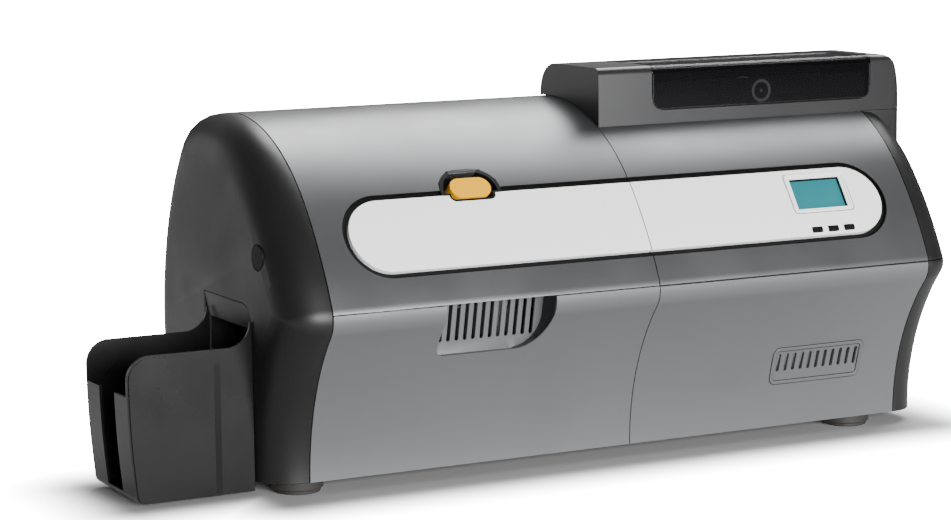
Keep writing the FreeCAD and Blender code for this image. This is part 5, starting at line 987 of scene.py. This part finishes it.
def add_screw(mesh, spot, axis, radius):
    axis = Vector(axis)
    spot = Vector(spot)
    add_disc(mesh, spot, axis, radius, radius * BASE_THICK, segments=HEAD_SEGMENTS)
    add_disc(mesh, spot + axis * radius * DOME_THICK, axis, radius * DOME_WIDE, radius * DOME_THICK,
             segments=HEAD_SEGMENTS)


# Two dark crossing bars on the head paint the shade of its cross recess.
def add_recess_shade(mesh, spot, axis, radius):
    axis = Vector(axis)
    middle = Vector(spot) + axis * radius * RECESS_RISE
    for side in (axis.orthogonal().normalized(), axis.cross(axis.orthogonal()).normalized()):
        half = (side * radius * RECESS_LONG + axis.cross(side) * radius * RECESS_WIDE
                + axis * radius * RECESS_DEEP)
        half = Vector([abs(value) for value in half])
        add_bar(mesh, *[(middle[i] - half[i], middle[i] + half[i]) for i in range(3)])


REAR_SCREWS = [(x, z) for x in (-0.2080, -0.0700, 0.0900, 0.3020) for z in (0.0240, 0.1860)]
heads, recess_shade = bmesh.new(), bmesh.new()
for x, z in REAR_SCREWS:
    add_screw(heads, (x, back_of_shell(z), z), (0, 1, 0), SCREW_RADIUS)
    add_recess_shade(recess_shade, (x, back_of_shell(z), z), (0, 1, 0), SCREW_RADIUS)
new_piece("rear_screw_heads", heads, "motor_metal", "housing", edge=FINE_EDGE)
new_piece("rear_screw_recess_shade", recess_shade, "dark_trim", "housing")

# %% [markdown]
# ## Contacts in the rear sockets
# The power inlet has three flat pins. One data socket has a white tongue and the other a row of gilt
# spring contacts along its roof.

# %% Pins, tongue and contacts
INLET_X, INLET_Z, INLET_Y = 0.2972, 0.0460, (0.1330, 0.1366)
PIN_PLACES, PIN_EDGE = ((-0.0050, -0.0028), (0.0050, -0.0028), (0.0, 0.0028)), 0.0001
PIN_HALF, TONGUE_HALF, CONTACT_HALF = (0.0009, 0.0018), (0.0030, 0.0018), 0.0003
CONTACTS, PITCH, CONTACT_RISE = 8, 0.00120, (0.0028, 0.0034)


def around(middle, half):
    return (middle - half, middle + half)


pins = bmesh.new()
for across, up in PIN_PLACES:
    add_bar(pins, around(INLET_X + across, PIN_HALF[0]), INLET_Y, around(INLET_Z + up, PIN_HALF[1]))
new_piece("inlet_pins", pins, "motor_metal", "housing", edge=PIN_EDGE)

SOCKETS_X, SOCKET_Z, SOCKET_Y = (0.2013, 0.2253), 0.0460, (0.1250, 0.1370)
tongue = bmesh.new()
add_bar(tongue, around(SOCKETS_X[0], TONGUE_HALF[0]), SOCKET_Y, around(SOCKET_Z, TONGUE_HALF[1]))
new_piece("socket_tongue", tongue, "white_plate", "housing", edge=FINE_EDGE)
contacts = bmesh.new()
for number in range(CONTACTS):
    x = SOCKETS_X[1] + (number - (CONTACTS - 1) / 2) * PITCH
    add_bar(contacts, around(x, CONTACT_HALF), SOCKET_Y, [SOCKET_Z + rise for rise in CONTACT_RISE])
new_piece("socket_contacts", contacts, "brass_pulley", "housing")

# %% [markdown]
# ## What the open cover shows
# The four transport rollers and the two ribbon spools run in flanged bushes on the front frame, and each
# spool carries a toothed wheel behind the rear frame. The teeth are rim points moved outward in pairs.

# %% Bushes and spool gears
FRAME_FACE, REAR_FACE = -0.0480, 0.0240
ROLLER_SHAFTS = [(x, 0.1086) for x in (-0.1917, -0.1227, -0.0477, 0.0273)]
SPOOLS = {"supply_spool": (-0.0017, 0.2000, 0.0165, 22), "takeup_spool": (-0.1017, 0.2000, 0.0130, 18)}
BUSH_RINGS, BUSH_SEGMENTS = ((0.0005, 0.0062, 0.0010), (0.0014, 0.0042, 0.0008)), 32
GEAR_BEHIND, GEAR_THICK, TOOTH, TOOTH_POINTS = 0.0016, 0.0022, 0.0014, 4

bushes = bmesh.new()
for x, z in ROLLER_SHAFTS + [place[:2] for place in SPOOLS.values()]:
    for before, radius, thick in BUSH_RINGS:
        add_disc(bushes, (x, FRAME_FACE - before, z), (0, 1, 0), radius, thick, segments=BUSH_SEGMENTS)
new_piece("frame_bushes", bushes, "brass_pulley", "housing", edge=FINE_EDGE)

for node, (x, z, radius, teeth) in SPOOLS.items():
    gear = bmesh.new()
    hub = Vector((x, REAR_FACE + GEAR_BEHIND, z))
    for vertex in add_disc(gear, hub, (0, 1, 0), radius - TOOTH, GEAR_THICK, segments=teeth * TOOTH_POINTS):
        spoke = Vector((vertex.co.x - hub.x, 0, vertex.co.z - hub.z))
        step = round(math.atan2(spoke.z, spoke.x) / math.tau * teeth * TOOTH_POINTS)
        if step % TOOTH_POINTS < TOOTH_POINTS / 2:
            vertex.co += spoke.normalized() * TOOTH
    new_piece(node + "_gear", gear, "white_plate", node)
